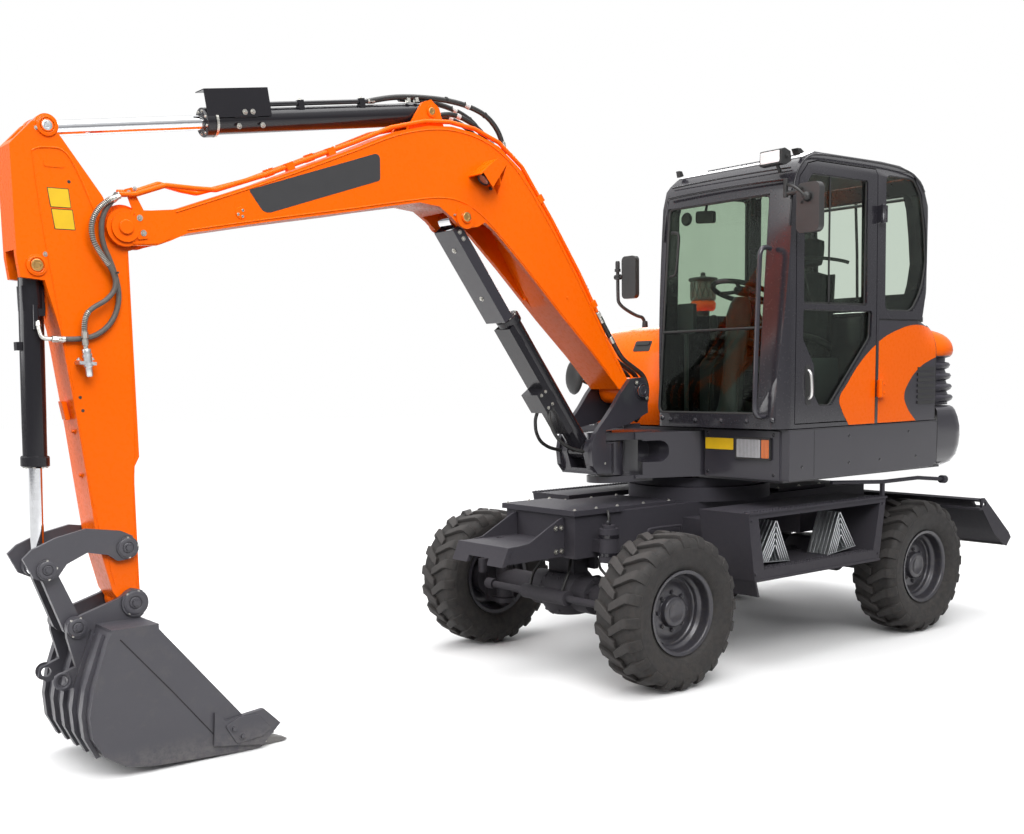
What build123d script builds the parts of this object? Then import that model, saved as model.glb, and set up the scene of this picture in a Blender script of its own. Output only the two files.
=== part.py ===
from build123d import *
import os
from math import radians, tan

os.makedirs("parts", exist_ok=True)

# A compact wheeled excavator with a swing boom and a dozer blade at the rear.
# Millimetres. +X is forward, +Y is the machine's left, +Z is up; the origin is
# on the ground under the slewing axis, midway between the axles.

# ---- Wheels and axles
AXLE_X = 1100
AXLE_Z = 420
WHEEL_Y = 790
TYRE_R = 420
TYRE_HALF = 152
LUGS = 20
RIM_R = 227
RIM_HALF = 124
KINGPIN_Y = 600
STEERING_ARM = 170

# ---- Chassis
CHASSIS_X = 1310
CHASSIS_Y = 300
CHASSIS_Z = (660, 900)
DECK_Z = 930
STEP_Y = (560, 920)
STEP_Z = (520, 900)
RING_Z = (985, 1042)
BLADE_PIN = (-1250, 560)
BLADE_LUG = (-1720, 620)
BLADE_BASE = (-1358, 840)
BLADE_HALF = 960

# ---- Upper structure
BODY_Y = 960
FRAME_Z = (1045, 1345)
SKIRT_FRONT = 310
SKIRT_REAR = -1130
TAIL_R = 1680
CAB_Y = (-20, 960)
CAB_WALL = 45
DOOR_GAP = 6
HOOD_FRONT = -1106
HOOD_TOP = 1920
COVER_SPLIT = -320
COVER_TOP = 1960
DOOR_PIN = (-485, 985)
HOOD_PIN = (-1104, 1932)
COVER_PIN = (-318, 1968)

# ---- Boom, arm and bucket: pins as (x, z) in the middle plane
SWING_X = 800
FOOT = (660, 1570)
BOOM_CYLINDER_BASE = (985, 1235)
BOOM_LUG = (1880, 2485)
TIP = (3680, 2330)
ARM_CYLINDER_BASE = (2050, 3000)
ARM_LUG = (3975, 2725)
BUCKET_CYLINDER_BASE = (4050, 2160)
BUCKET_PIN = (3730, 715)
ROCKER_PIN = (3745, 960)
LINK_TOP = (4095, 900)
LINK_LOW = (3985, 640)
BOOM_HALF = 120
ARM_HALF = 88
EAR_IN = 125
EAR_OUT = 155
BUCKET_HALF = 310
PLAY = 0.05


# ---- Shapes used by many pieces

def box(x, y, z):
    """A block between two limits on each axis."""
    centre = Pos((x[0] + x[1]) / 2, (y[0] + y[1]) / 2, (z[0] + z[1]) / 2)
    return centre * Box(x[1] - x[0], y[1] - y[0], z[1] - z[0])


def outline(points, radius):
    """A closed flat loop with its corners rounded."""
    if radius:
        return FilletPolyline(*points, radius=radius, close=True)
    return Polyline(*points, close=True)


def side_plate(points, y, radius=0):
    """An (x, z) outline, solid between two y planes."""
    loop = outline([(px, y[0], pz) for px, pz in points], radius)
    return extrude(make_face(loop), amount=y[1] - y[0], dir=(0, 1, 0))


def top_plate(points, z, radius=0):
    """An (x, y) outline, solid between two heights."""
    loop = outline([(px, py, z[0]) for px, py in points], radius)
    return extrude(make_face(loop), amount=z[1] - z[0], dir=(0, 0, 1))


def front_plate(points, x, radius=0):
    """A (y, z) outline, solid between two x planes."""
    loop = outline([(x[0], py, pz) for py, pz in points], radius)
    return extrude(make_face(loop), amount=x[1] - x[0], dir=(1, 0, 0))


def rod(start, end, radius):
    """A round bar between two points."""
    axis = Vector(*end) - Vector(*start)
    bar = Cylinder(radius, axis.length, align=(Align.CENTER, Align.CENTER, Align.MIN))
    return Plane(origin=start, z_dir=axis) * bar


def pin(at, radius, y):
    """A cross pin or boss at (x, z), between two y planes."""
    return rod((at[0], y[0], at[1]), (at[0], y[1], at[1]), radius)


def post(at, radius, z):
    """An upright round bar at (x, y), between two heights."""
    return rod((at[0], at[1], z[0]), (at[0], at[1], z[1]), radius)


def tube(points, radius, bend):
    """A round tube along straight runs joined by arcs."""
    path = FilletPolyline(*points, radius=bend)
    return sweep(Plane(origin=path @ 0, z_dir=path % 0) * Circle(radius), path=path)


def hose(points, radius):
    """A hose along straight runs joined by the largest arcs that fit between them."""
    route = [Vector(*point) for point in points]
    runs = [end - start for start, end in zip(route, route[1:])]
    bends = []
    for before, after in zip(runs, runs[1:]):
        turn = radians(before.get_angle(after))
        bends.append(0.45 * min(before.length, after.length) / tan(turn / 2))
    path = FilletPolyline(*points, radius=bends)
    return sweep(Plane(origin=path @ 0, z_dir=path % 0) * Circle(radius), path=path)


def both_sides(shape):
    """A piece and its mirror image across the middle plane."""
    return shape + mirror(shape, about=Plane.XZ)


def between(start, end, distance):
    """The (x, z) point at a distance along the line between two pins."""
    run = Vector(end[0] - start[0], 0, end[1] - start[1]).normalized()
    return (start[0] + run.X * distance, start[1] + run.Z * distance)


def middle(point):
    """An (x, z) point in the middle plane as a 3-D point."""
    return (point[0], 0, point[1])


def write(shape, node):
    export_step(shape, f"parts/{node}.step")


# ---- Undercarriage

def chassis_frame():
    """Box frame with a turret, side outriggers, axle seats and the blade's lugs."""
    x, y = CHASSIS_X, CHASSIS_Y
    frame = box((-x, x), (-y, y), CHASSIS_Z)
    frame += Pos(0, 0, (CHASSIS_Z[1] + RING_Z[0]) / 2) * Cylinder(440, RING_Z[0] - CHASSIS_Z[1])
    for centre in (-380, 380):
        frame += box((centre - 80, centre + 80), (-STEP_Y[0], STEP_Y[0]), (680, 820))
    # Cover plates: x limits, y limits, top
    for cover_x, cover_y, top in (
        ((960, 1330), (-320, 320), DECK_Z),
        ((470, 950), (-250, 250), DECK_Z - 12),
        ((-950, -470), (-250, 250), DECK_Z - 12),
    ):
        frame += box(cover_x, cover_y, (CHASSIS_Z[1], top))
    # Front trunnion and rear seats for the axles
    frame += both_sides(box((AXLE_X - 90, AXLE_X - 60), (20, 160), (560, 660)))
    frame += both_sides(box((-AXLE_X - 80, -AXLE_X + 80), (190, 260), (530, 660)))
    lug = [(-1200, 680), (-1306, 680), (-1306, 560), (-1270, 510), (-1230, 510), (-1200, 560)]
    blade_lugs = side_plate(lug, (262, 290)) - pin(BLADE_PIN, 25 + PLAY, (250, 300))
    frame += both_sides(blade_lugs)
    ear = [(-1300, 860), (-1300, 770), (-1330, 770), (-1400, 820), (-1390, 870), (-1350, 880)]
    frame += both_sides(side_plate(ear, (50, 68)))
    frame += pin(BLADE_BASE, 18, (-68, 68))
    # Brake accumulator on the left of the nose
    frame += post((1150, 400), 54, (640, 828)) + post((1150, 400), 36, (828, 846))
    frame += box((1120, 1180), (298, 356), (690, 760))
    return frame


def front_bracket():
    """Tow bracket on the chassis nose: two tapered webs, a shelf and a lip."""
    web = [(1312, 886), (1345, 880), (1565, 766), (1645, 757), (1700, 757), (1745, 662), (1312, 668)]
    shelf = side_plate([(1312, 742), (1700, 742), (1700, 757), (1312, 757)], (-200, 200))
    lip = side_plate([(1690, 742), (1735, 655), (1765, 655), (1718, 757), (1690, 757)], (-225, 225))
    lip -= box((1670, 1800), (-90, 90), (640, 690))
    bracket = both_sides(side_plate(web, (200, 215))) + shelf + lip
    for y in (-150, 150):
        bracket -= post((1480, y), 22, (700, 800))
    return bracket


def axle_beam(x):
    """Differential housing and axle tubes, along Y through (x, AXLE_Z)."""
    centre = Pos(x, 0, AXLE_Z)
    beam = centre * Sphere(165)
    beam = beam & (centre * Box(400, 400, 240))
    beam += rod((x, -250, AXLE_Z), (x, 250, AXLE_Z), 105)
    beam += rod((x, -500, AXLE_Z), (x, 500, AXLE_Z), 72)
    return beam


def front_axle():
    """Steered axle with kingpin bosses and the steering cylinder's barrel."""
    axle = axle_beam(AXLE_X)
    boss = post((AXLE_X, KINGPIN_Y), 52, (AXLE_Z - 112, AXLE_Z + 112))
    boss += rod((AXLE_X, 490, AXLE_Z), (AXLE_X, KINGPIN_Y, AXLE_Z), 60)
    boss -= post((AXLE_X, KINGPIN_Y), 28 + PLAY, (AXLE_Z - 130, AXLE_Z + 130))
    axle += both_sides(boss)
    axle += box((AXLE_X - 55, AXLE_X + 55), (-110, 110), (AXLE_Z + 100, AXLE_Z + 225))
    steer_x = AXLE_X + STEERING_ARM
    axle += rod((steer_x, -190, AXLE_Z), (steer_x, 190, AXLE_Z), 42)
    axle -= rod((steer_x, -200, AXLE_Z), (steer_x, 200, AXLE_Z), 20 + PLAY)
    return axle


def rear_axle():
    """Rigid axle with flanged ends for the rear hubs."""
    axle = axle_beam(-AXLE_X)
    axle += both_sides(rod((-AXLE_X, 500, AXLE_Z), (-AXLE_X, 640, AXLE_Z), 95))
    axle += both_sides(box((-AXLE_X - 70, -AXLE_X + 70), (195, 255), (AXLE_Z, 530)))
    return axle


def drive_shafts():
    """Travel gearbox under the frame with a shaft to each differential."""
    case = box((-150, 170), (-130, 130), (440, 660))
    case += rod((-190, 0, 470), (210, 0, 470), 60)
    for sign in (-1, 1):
        case += rod((sign * 190, 0, 470), (sign * 915, 0, AXLE_Z + 10), 32)
        case += rod((sign * 205, 0, 470), (sign * 280, 0, 464), 52)
        case += rod((sign * 860, 0, AXLE_Z + 15), (sign * 932, 0, AXLE_Z + 9), 52)
    return case


def slew_ring():
    """Lower race of the slewing bearing."""
    ring = Pos(0, 0, sum(RING_Z) / 2) * Cylinder(400, RING_Z[1] - RING_Z[0])
    return ring - Pos(0, 0, sum(RING_Z) / 2) * Cylinder(300, 200)


def side_steps():
    """Step box between the wheels on each side, open through its middle."""
    y, z = STEP_Y, STEP_Z
    front = (600, 545)
    rear = (-660, -600)
    shell = [(rear[0], z[1]), (front[0], z[1]), (front[1], z[0]), (rear[1], z[0])]
    window = [(rear[1], z[1] - 34), (front[1] - 30, z[1] - 34), (front[1] - 80, z[0] + 60),
              (rear[1] + 60, z[0] + 60)]
    step = side_plate(shell, y) - side_plate(window, (y[0] + 12, y[1] + 10))
    step -= side_plate(window, (y[0] - 10, y[0] + 20), 60)
    flap = [(530, z[0] + 4), (544, z[0] + 4), (516, 430), (502, 430)]
    step += side_plate(flap, (660, y[1]))
    # Guard bar over the rear wheel
    step += box((-652, -628), (896, 916), (z[1] - 4, 990))
    bar = tube([(-140, 906, 1020), (-640, 906, 990), (-1010, 906, 990), (-1290, 906, 962)], 12, 60)
    step += bar + rod((-1270, 906, 964), (-1310, 906, 960), 25)
    return both_sides(step)


def wheel_chocks():
    """Two folded wheel chocks stowed in the left step box."""
    chock = [(0, 0), (190, 0), (95, 175), (85, 175), (88, 165), (172, 10), (0, 10)]
    stowed = []
    for x in (-430, 190):
        stowed.append(side_plate([(x + dx, 585 + dz) for dx, dz in chock], (690, 850)))
    return Compound(stowed)


def knuckle():
    """Left steering knuckle: kingpin fork, hub housing and steering arm."""
    x, y, z = AXLE_X, KINGPIN_Y, AXLE_Z
    body = post((x, y), 62, (z + 117, z + 145)) + post((x, y), 62, (z - 145, z - 117))
    for low, high in ((117, 145), (-145, -117)):
        body += box((x - 58, x + 58), (y, y + 125), (z + low, z + high))
    body += box((x - 58, x + 58), (y + 90, y + 125), (z - 145, z + 145))
    body += rod((x, y + 120, z), (x, y + 170, z), 120)
    body += post((x, y), 28, (z - 145, z + 145))
    arm_x = x + STEERING_ARM
    body += box((x + 30, arm_x), (y - 22, y + 22), (z + 119, z + 143))
    body += post((arm_x, y), 26, (z + 60, z + 143))
    return body


def steering_rod():
    """Double-ended steering rod through its cylinder, with end joints."""
    steer_x = AXLE_X + STEERING_ARM
    bar = rod((steer_x, -540, AXLE_Z), (steer_x, 540, AXLE_Z), 20)
    return bar + both_sides(rod((steer_x, 480, AXLE_Z), (steer_x, 545, AXLE_Z), 32))


def rim():
    """Deep-dish wheel about the Y axis, with its disc, hub and studs; outside is +Y."""
    section = [
        (227, 124), (227, 116), (213, 111), (210, 66), (190, 44), (190, -60), (210, -84),
        (213, -111), (227, -116), (227, -124), (206, -120), (203, -88), (182, -64), (182, 48),
        (203, 70), (206, 120),
    ]
    wheel = revolve(make_face(Polyline(*section, close=True)), axis=Axis.Y)
    disc = [(60, 22), (120, 22), (150, 10), (184, 10), (184, 24), (156, 24), (126, 36), (60, 36)]
    wheel += revolve(make_face(Polyline(*disc, close=True)), axis=Axis.Y)
    hub = [(0, -18), (112, -18), (112, 24), (84, 36), (80, 62), (70, 70), (0, 70)]
    wheel += revolve(make_face(Polyline(*hub, close=True)), axis=Axis.Y)
    studs = [Rot(0, angle, 0) * rod((102, 30, 0), (102, 52, 0), 12) for angle in range(0, 360, 45)]
    for stud in studs:
        wheel += stud
    return wheel


def ring(radius, y, grow=0.0):
    """A flat polygon round the Y axis with one side for each lug of a row."""
    plane = Plane(origin=(0, y, 0), x_dir=(1, 0, 0), z_dir=(0, 1, 0))
    return plane * RegularPolygon(radius + grow, LUGS)


def tyre():
    """Tyre about the Y axis: a faceted carcass with two staggered rows of lugs fused on."""
    half = [(230, 110), (345, TYRE_HALF), (399, 112)]
    sections = [(r, -y) for r, y in half] + [(r, y) for r, y in reversed(half)]
    carcass = loft([ring(r, y) for r, y in sections], ruled=True)
    carcass -= loft([ring(215.8, -130), ring(215.8, 130)], ruled=True)
    plan = [(46, -10), (-2, -10), (-50, TYRE_HALF + 2), (-2, TYRE_HALF + 2)]
    profile = [(-10, 388), (-10, 417), (116, 417), (TYRE_HALF, 378), (TYRE_HALF, 350)]
    lug = top_plate(plan, (340, 425)) & front_plate(profile, (-80, 80))
    pitch = 360 / LUGS
    rows = [Rot(0, turn * pitch, 0) * lug for turn in range(LUGS)]
    other = mirror(lug, about=Plane.XZ)
    rows += [Rot(0, (turn + 0.5) * pitch, 0) * other for turn in range(LUGS)]
    return carcass + rows


def blade():
    """Dozer blade with end plates, cutting edge, two lift arms and a cylinder lug."""
    face = [(-1655, 800), (-1690, 770), (-1850, 585), (-1990, 470), (-2040, 520), (-2020, 545),
            (-1985, 505), (-1865, 610), (-1705, 790), (-1670, 812)]
    end = [(-1655, 812), (-1700, 812), (-2010, 560), (-2035, 528), (-1990, 466), (-1830, 560),
           (-1672, 745)]
    body = side_plate(face, (-BLADE_HALF, BLADE_HALF))
    body += both_sides(side_plate(end, (BLADE_HALF - 14, BLADE_HALF)))
    body += box((-1700, -1640), (-BLADE_HALF, BLADE_HALF), (735, 750))
    arm = [(-1225, 535), (-1225, 585), (-1290, 600), (-1660, 690), (-1795, 672), (-1862, 592),
           (-1700, 560), (-1290, 520)]
    lift_arm = side_plate(arm, (205, 240)) + pin(BLADE_PIN, 42, (205, 250))
    lift_arm += pin(BLADE_PIN, 25, (205, 292))
    body += both_sides(lift_arm)
    body += box((-1500, -1440), (-206, 206), (575, 640))
    lug = [(-1700, 590), (-1690, 650), (-1730, 670), (-1850, 610), (-1830, 575)]
    body += both_sides(side_plate(lug, (38, 56)))
    body -= both_sides(pin((-1700, 770), 34, (BLADE_HALF - 80, BLADE_HALF - 14)))
    return body - both_sides(pin((-1700, 770), 16, (BLADE_HALF - 20, BLADE_HALF + 5)))


def barrel(base, tip, length, radius, bore, eye, half, base_pin):
    """Cylinder barrel from its base eye towards the far pin, bored for rod and base pin."""
    head = between(base, tip, length)
    start = between(base, tip, eye * 0.6)
    body = pin(base, eye, (-half, half)) + rod(middle(start), middle(head), radius)
    gland = between(base, tip, length - 45)
    body += rod(middle(gland), middle(head), radius + 7)
    bottom = between(base, tip, eye + 30)
    mouth = between(base, tip, length + 20)
    body -= rod(middle(bottom), middle(mouth), bore)
    return body - pin(base, base_pin + PLAY, (-half - 5, half + 5))


def ram(base, tip, inner, radius, eye, half):
    """Piston rod from inside the barrel to the eye at the far pin."""
    bottom = between(base, tip, inner)
    return rod(middle(bottom), middle(tip), radius) + pin(tip, eye, (-half, half))


# ---- Upper structure

def upper_frame():
    """Base plate, deck, keels and the nose that carries the swing post."""
    low, high = FRAME_Z
    plan = [(SKIRT_FRONT - 20, -900), (SKIRT_FRONT - 20, 900), (-1250, 900), (-1250, -900)]
    frame = top_plate(plan, (low, low + 28))
    frame += top_plate(plan, (high - 40, high - 6))
    for y in (-430, -260, 230, 400):
        frame += box((-1200, SKIRT_FRONT - 20), (y, y + 30), (low + 20, high - 20))
    nose = [(280, -330), (280, 330), (690, 140), (690, -140)]
    frame += top_plate(nose, (low + 10, high - 20))
    frame -= post((SWING_X, 0), 218, (low + 30, high - 61))
    for z in ((low - 8, low + 30), (high - 60, high - 15)):
        lug = top_plate([(560, -150), (560, 150), (800, 112), (800, -112)], z)
        lug += post((SWING_X, 0), 112, z)
        frame += lug - post((SWING_X, 0), 40 + PLAY, (z[0] - 5, z[1] + 5))
    slot = side_plate([(500, 1150), (500, 1275), (760, 1275), (760, 1150)], (60, 400), 55)
    engine_bay = box((-1080, -620), (-520, 640), (low + 30, high + 10))
    return frame - slot - engine_bay


def lower_skirts():
    """Side skirts and front fascias below the deck."""
    low, high = FRAME_Z[0] + 15, FRAME_Z[1]
    skirt = [(SKIRT_REAR + 6, low + 25), (SKIRT_REAR + 6, high), (SKIRT_FRONT, high),
             (SKIRT_FRONT, low), (SKIRT_REAR + 60, low)]
    side = side_plate(skirt, (905, BODY_Y))
    fascia = box((SKIRT_FRONT - 15, SKIRT_FRONT + 12), (345, 900), (low, high - 8))
    fascia += box((SKIRT_FRONT - 15, SKIRT_FRONT), (880, BODY_Y), (low, high))
    return both_sides(side + fascia)


def tail_plan(inset, front):
    """Plan of the tail: straight sides, rounded corners and a circular rear."""
    disc = Cylinder(TAIL_R - inset, 4000)
    block = box((-TAIL_R - 100, front), (-BODY_Y + inset, BODY_Y - inset), (-2000, 2000))
    tail = disc & block
    corners = tail.edges().filter_by(Axis.Z).sort_by(Axis.X)[0:2]
    return fillet(corners, 190)


def counterweight():
    """Cast tail weight wrapped round the rear of the frame."""
    profile = [(-1130, 1050), (-1130, 1430), (-1690, 1430), (-1690, 1130), (-1640, 1050)]
    weight = tail_plan(0, SKIRT_REAR) & side_plate(profile, (-1000, 1000))
    core = box((-1256, SKIRT_REAR + 10), (-905, 905), (1040, FRAME_Z[1]))
    return weight - core


def engine_hood():
    """Rear hood, a rounded shell hinged along its top front edge."""
    profile = [(HOOD_FRONT, 1436), (HOOD_FRONT, HOOD_TOP), (-1330, HOOD_TOP - 12), (-1500, 1860),
               (-1600, 1700), (-1640, 1436)]
    inner = [(HOOD_FRONT + 50, 1400), (HOOD_FRONT + 50, HOOD_TOP - 30), (-1320, HOOD_TOP - 42),
             (-1480, 1835), (-1572, 1690), (-1610, 1400)]
    outer = tail_plan(20, HOOD_FRONT) & side_plate(profile, (-1000, 1000))
    hollow = tail_plan(50, 0) & side_plate(inner, (-1000, 1000))
    return outer - hollow


def quarter_panel():
    """Left body side behind the door, under the cab's rear overhang."""
    panel = [(-504, 1350), (-504, 1954), (-925, 1954), (-1000, 1935), (-1100, 1920), (-1100, 1350)]
    hinge = box((-540, -506), (950, 990), (1507, 1603)) + box((-540, -490), (962, 990), (1507, 1603))
    hinge += post(DOOR_PIN, 12, (1505, 1605))
    return side_plate(panel, (920, 955)) + hinge


def right_covers():
    """Right housing: a fixed rear shell and a front shell that tilts up."""
    section = [(-30, FRAME_Z[1] + 4), (-30, COVER_TOP - 30), (-60, COVER_TOP), (-830, COVER_TOP),
               (-930, COVER_TOP - 60), (-955, COVER_TOP - 180), (-955, FRAME_Z[1] + 4)]
    inner = [(-55, FRAME_Z[1]), (-55, COVER_TOP - 50), (-70, COVER_TOP - 25), (-815, COVER_TOP - 25),
             (-910, COVER_TOP - 80), (-930, COVER_TOP - 190), (-930, FRAME_Z[1])]
    shell = front_plate(section, (-1100, 300)) - front_plate(inner, (-1110, 275))
    front = [(-400, 1300), (-400, 2000), (80, 1962), (230, 1900), (290, 1780), (302, 1300)]
    shell = shell & side_plate([(-1200, 1300), (-1200, 2000)] + front[2:], (-1000, 0))
    rear = shell & box((-1100, COVER_SPLIT - 4), (-1000, 0), (1300, 2000))
    lid = shell & box((COVER_SPLIT + 4, 400), (-1000, 0), (1300, 2000))
    rear -= box((-1101, -505), (-60, -20), (1300, 1900))
    rear += box((-1100, -1080), (-950, -60), (FRAME_Z[1] + 4, 1940))
    for y in (-800, -300):
        rear += pin(HOOD_PIN, 8, (y, y + 100))
        rear += box((-345, -320), (y, y + 100), (1956, 1974)) + pin(COVER_PIN, 7, (y, y + 100))
    return rear, lid


def louvre_panels():
    """Slatted air panels on both sides of the tail."""
    slats = []
    for row in range(7):
        z = 1452 + row * 34
        slats.append(box((-1085, -905), (955.2, 962), (z, z + 20)))
    left = Compound(slats)
    return Compound([left, mirror(left, about=Plane.XZ)])


def cab_outside():
    """The cab's full outer form: side, plan and front outlines intersected."""
    side = [
        (385, 1350), (385, 1440), (292, 2640), (262, 2745), (180, 2830), (60, 2870), (-560, 2870),
        (-740, 2860), (-855, 2825), (-930, 2750), (-978, 2640), (-1008, 2480), (-1030, 2300),
        (-1002, 2170), (-960, 2070), (-935, 1962), (-500, 1962), (-500, 1350),
    ]
    low, high = CAB_Y
    plan = [(-1040, low), (-1040, high), (386, high), (386, low)]
    front = [(low, 1340), (low, 2780), (low + 50, 2872), (high - 50, 2872), (high - 8, 2780), (high, 2000),
             (high, 1340)]
    return side, plan, front


def cab_shell():
    """Outer form less the inner form, the same wall all round."""
    side, plan, front = cab_outside()
    limits = (-100, 1100)
    outer = side_plate(side, limits)
    outer = outer & top_plate(plan, (1300, 2900), 95)
    outer = outer & front_plate(front, (-1100, 500))
    face = make_face(Polyline([(x, limits[0], z) for x, z in side], close=True))
    inner = extrude(offset(face, amount=-CAB_WALL), amount=1200, dir=(0, 1, 0))
    low, high = CAB_Y
    inset = CAB_WALL
    core = [(-1040 + inset, low + inset), (-1040 + inset, high - inset), (386 - inset, high - inset),
            (386 - inset, low + inset)]
    inner = inner & top_plate(core, (1300, 2900), 50)
    roof_in = [(low + inset, 1340), (low + inset, 2770), (low + 80, 2872 - inset),
               (high - 80, 2872 - inset), (high - inset - 8, 2770), (high - inset, 2000),
               (high - inset, 1340)]
    inner = inner & front_plate(roof_in, (-1100, 500))
    return outer - inner


DOOR = [(264, 1378), (256, 2600), (232, 2715), (160, 2790), (70, 2812), (-470, 2812), (-470, 1378)]
DOOR_WINDOWS = (
    [(196, 2034), (190, 2600), (170, 2690), (120, 2742), (-380, 2742), (-380, 2034)],
    [(200, 2006), (200, 1840), (104, 1700), (94, 1525), (50, 1470), (-60, 1470), (-110, 1525),
     (-424, 1850), (-430, 2006)],
)
QUARTER_GLASS = [(-556, 2010), (-556, 2790), (-840, 2790), (-915, 2700), (-962, 2500), (-985, 2300),
                 (-945, 2150), (-900, 2080), (-840, 2010)]
RIGHT_GLASS = [(210, 2010), (195, 2600), (150, 2740), (-450, 2740), (-450, 2010)]
WINDSCREEN_Y = (22, 795)


def grown(points, gap):
    """A closed (x, z) outline offset outwards by a gap."""
    face = make_face(Polyline([(x, 0, z) for x, z in points], close=True))
    return extrude(offset(face, amount=gap), amount=200, dir=(0, 1, 0))


def cab_parts():
    """Frame, roof and door cut from one shell along the real panel joints."""
    shell = cab_shell()
    door_band = (880, 1000)
    opening = Pos(0, 860, 0) * grown(DOOR, DOOR_GAP)
    door = shell & side_plate(DOOR, door_band)
    for window in DOOR_WINDOWS:
        door -= side_plate(window, door_band, 18)
    roof_zone = box((-1100, 500), (-100, 1100), (2822, 3000))
    frame = shell - opening
    roof = frame & roof_zone
    frame = frame - box((-1100, 500), (-100, 1100), (2820, 3000))
    frame -= side_plate(QUARTER_GLASS, door_band, 40)
    frame -= side_plate(QUARTER_GLASS, (-100, 100), 40)
    frame -= side_plate(RIGHT_GLASS, (-100, 100), 25)
    frame -= box((200, 500), WINDSCREEN_Y, (1430, 2640))
    frame -= box((-1100, -900), (110, 830), (2120, 2700))
    frame += box((-520, -480), (945, 990), (2512, 2608)) + post(DOOR_PIN, 12, (2510, 2610))
    return frame, roof, door


def glass_parts():
    """Panes, each 6 thick, in the middle of their walls."""
    sheet = [(372, 1430), (278, 2640), (272, 2640), (366, 1430)]
    panes = [side_plate(sheet, WINDSCREEN_Y)]
    panes.append(side_plate(QUARTER_GLASS, (932, 938), 40))
    panes.append(side_plate(QUARTER_GLASS, (2, 8), 40))
    panes.append(side_plate(RIGHT_GLASS, (2, 8), 25))
    door = [side_plate(window, (930, 936), 18) for window in DOOR_WINDOWS]
    return Compound(panes), Compound(door)


def seat():
    """Suspension base, cushion, back rest and head rest."""
    body = box((-360, -20), (300, 640), (1400, 1560))
    body += box((-400, 70), (250, 690), (1560, 1680))
    back = [(-370, 1680), (-445, 2260), (-365, 2280), (-270, 1680)]
    body += side_plate(back, (270, 670))
    rest = [(-460, 2290), (-485, 2450), (-415, 2460), (-385, 2290)]
    body += side_plate(rest, (350, 590))
    return body + box((-430, -400), (430, 510), (2240, 2330))


def controls():
    """Side consoles with levers, steering column and wheel, and pedals."""
    left = box((-330, 60), (705, 800), (1400, 1740)) + post((0, 752), 14, (1740, 1920))
    left += post((0, 752), 26, (1880, 1960))
    right = box((-330, 120), (120, 235), (1400, 1760)) + post((60, 178), 14, (1760, 1920))
    right += post((60, 178), 26, (1890, 1970))
    column = rod((250, 470, 1412), (130, 470, 1900), 42)
    tilt = Plane(origin=(125, 470, 1915), z_dir=(-0.35, 0, 1))
    column += tilt * Torus(170, 13)
    column += tilt * Box(340, 24, 12) + tilt * Cylinder(40, 40)
    pedals = box((200, 290), (330, 400), (1400, 1440)) + box((200, 290), (540, 610), (1400, 1440))
    monitor = box((200, 230), (40, 170), (1900, 2080)) + rod((215, 100, 1400), (215, 100, 1900), 14)
    return Compound([left, right, column, pedals, monitor])


def mirror_left():
    """Left door mirror on a short bracket from the front post."""
    head = front_plate([(1010, 2400), (1010, 2660), (1160, 2660), (1160, 2400)], (292, 336), 35)
    return head + rod((320, 925, 2620), (320, 1020, 2620), 13)


def mirror_right():
    """Right mirror on a bent stalk above the front cover."""
    head = front_plate([(-920, 2030), (-920, 2290), (-790, 2290), (-790, 2030)], (150, 190), 30)
    stalk = tube([(200, -700, 1900), (200, -700, 1990), (172, -765, 2060), (172, -765, 2250)], 12, 30)
    return head + stalk + rod((172, -765, 2180), (172, -800, 2180), 10)


def lamps():
    """Work lamp on the cab roof and headlamp clusters in the front fascia."""
    work = box((290, 370), (790, 930), (2775, 2850))
    left = box((SKIRT_FRONT + 12, SKIRT_FRONT + 28), (600, 840), (1180, 1290))
    return Compound([work, left, mirror(left, about=Plane.XZ)])


def precleaner():
    """Engine air intake with a bowl on the right rear cover."""
    body = post((-690, -600), 45, (COVER_TOP + 0.2, 2150))
    body += post((-690, -600), 90, (2150, 2290)) + post((-690, -600), 100, (2290, 2325))
    return body


# ---- Working equipment

def swing_post():
    """Upright casting with two ears for the boom foot."""
    low, high = FRAME_Z
    ear = [(600, 1440), (602, 1500), (588, 1575), (640, 1646), (740, 1638), (820, 1555), (880, 1480),
           (935, 1420), (990, 1365), (1036, 1306), (1050, 1235), (1040, 1150), (1002, 1104), (944, 1104),
           (936, 1350), (760, 1376)]
    body = post((SWING_X, 0), 104, (low + 37, high - 68))
    body += post((SWING_X, 0), 40, (low - 6, high - 8))
    block = [(820, -96), (820, 96), (890, 148), (1008, 148), (1008, -148), (890, -148)]
    body += top_plate(block, (1100, 1268))
    body += both_sides(side_plate(ear, (EAR_IN, EAR_OUT)))
    cheek = [(926, 1112), (926, 1298), (1014, 1298), (1040, 1228), (1004, 1112)]
    body += both_sides(side_plate(cheek, (68, EAR_IN + 4)))
    body -= box((908, 1100), (-68, 68), (1132, 1400))
    body += box((640, 770), (-EAR_IN - 4, EAR_IN + 4), (1352, 1378))
    body += both_sides(pin(FOOT, 47, (EAR_OUT - 2, EAR_OUT + 12)))
    body -= pin(FOOT, 35 + PLAY, (-200, 200))
    return body + pin(BOOM_CYLINDER_BASE, 27, (-80, 80))


BOOM_TOP = [(3690, 2408), (3600, 2404), (3450, 2420), (3000, 2580), (2500, 2780), (2300, 2868), (2100, 2918),
            (1950, 2930), (1800, 2912), (1650, 2860), (1500, 2750), (1300, 2495), (1100, 2205), (900, 1890),
            (735, 1640)]
BOOM_UNDER = [(800, 1580), (860, 1640), (990, 1770), (1217, 1977), (1502, 2254), (1692, 2428), (1752, 2466),
              (1800, 2440), (1850, 2434), (1920, 2440), (1965, 2480), (2040, 2528), (2160, 2540), (2396, 2500),
              (2578, 2466), (3007, 2393), (3300, 2338), (3400, 2320), (3480, 2284), (3540, 2262), (3690, 2254)]
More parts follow.
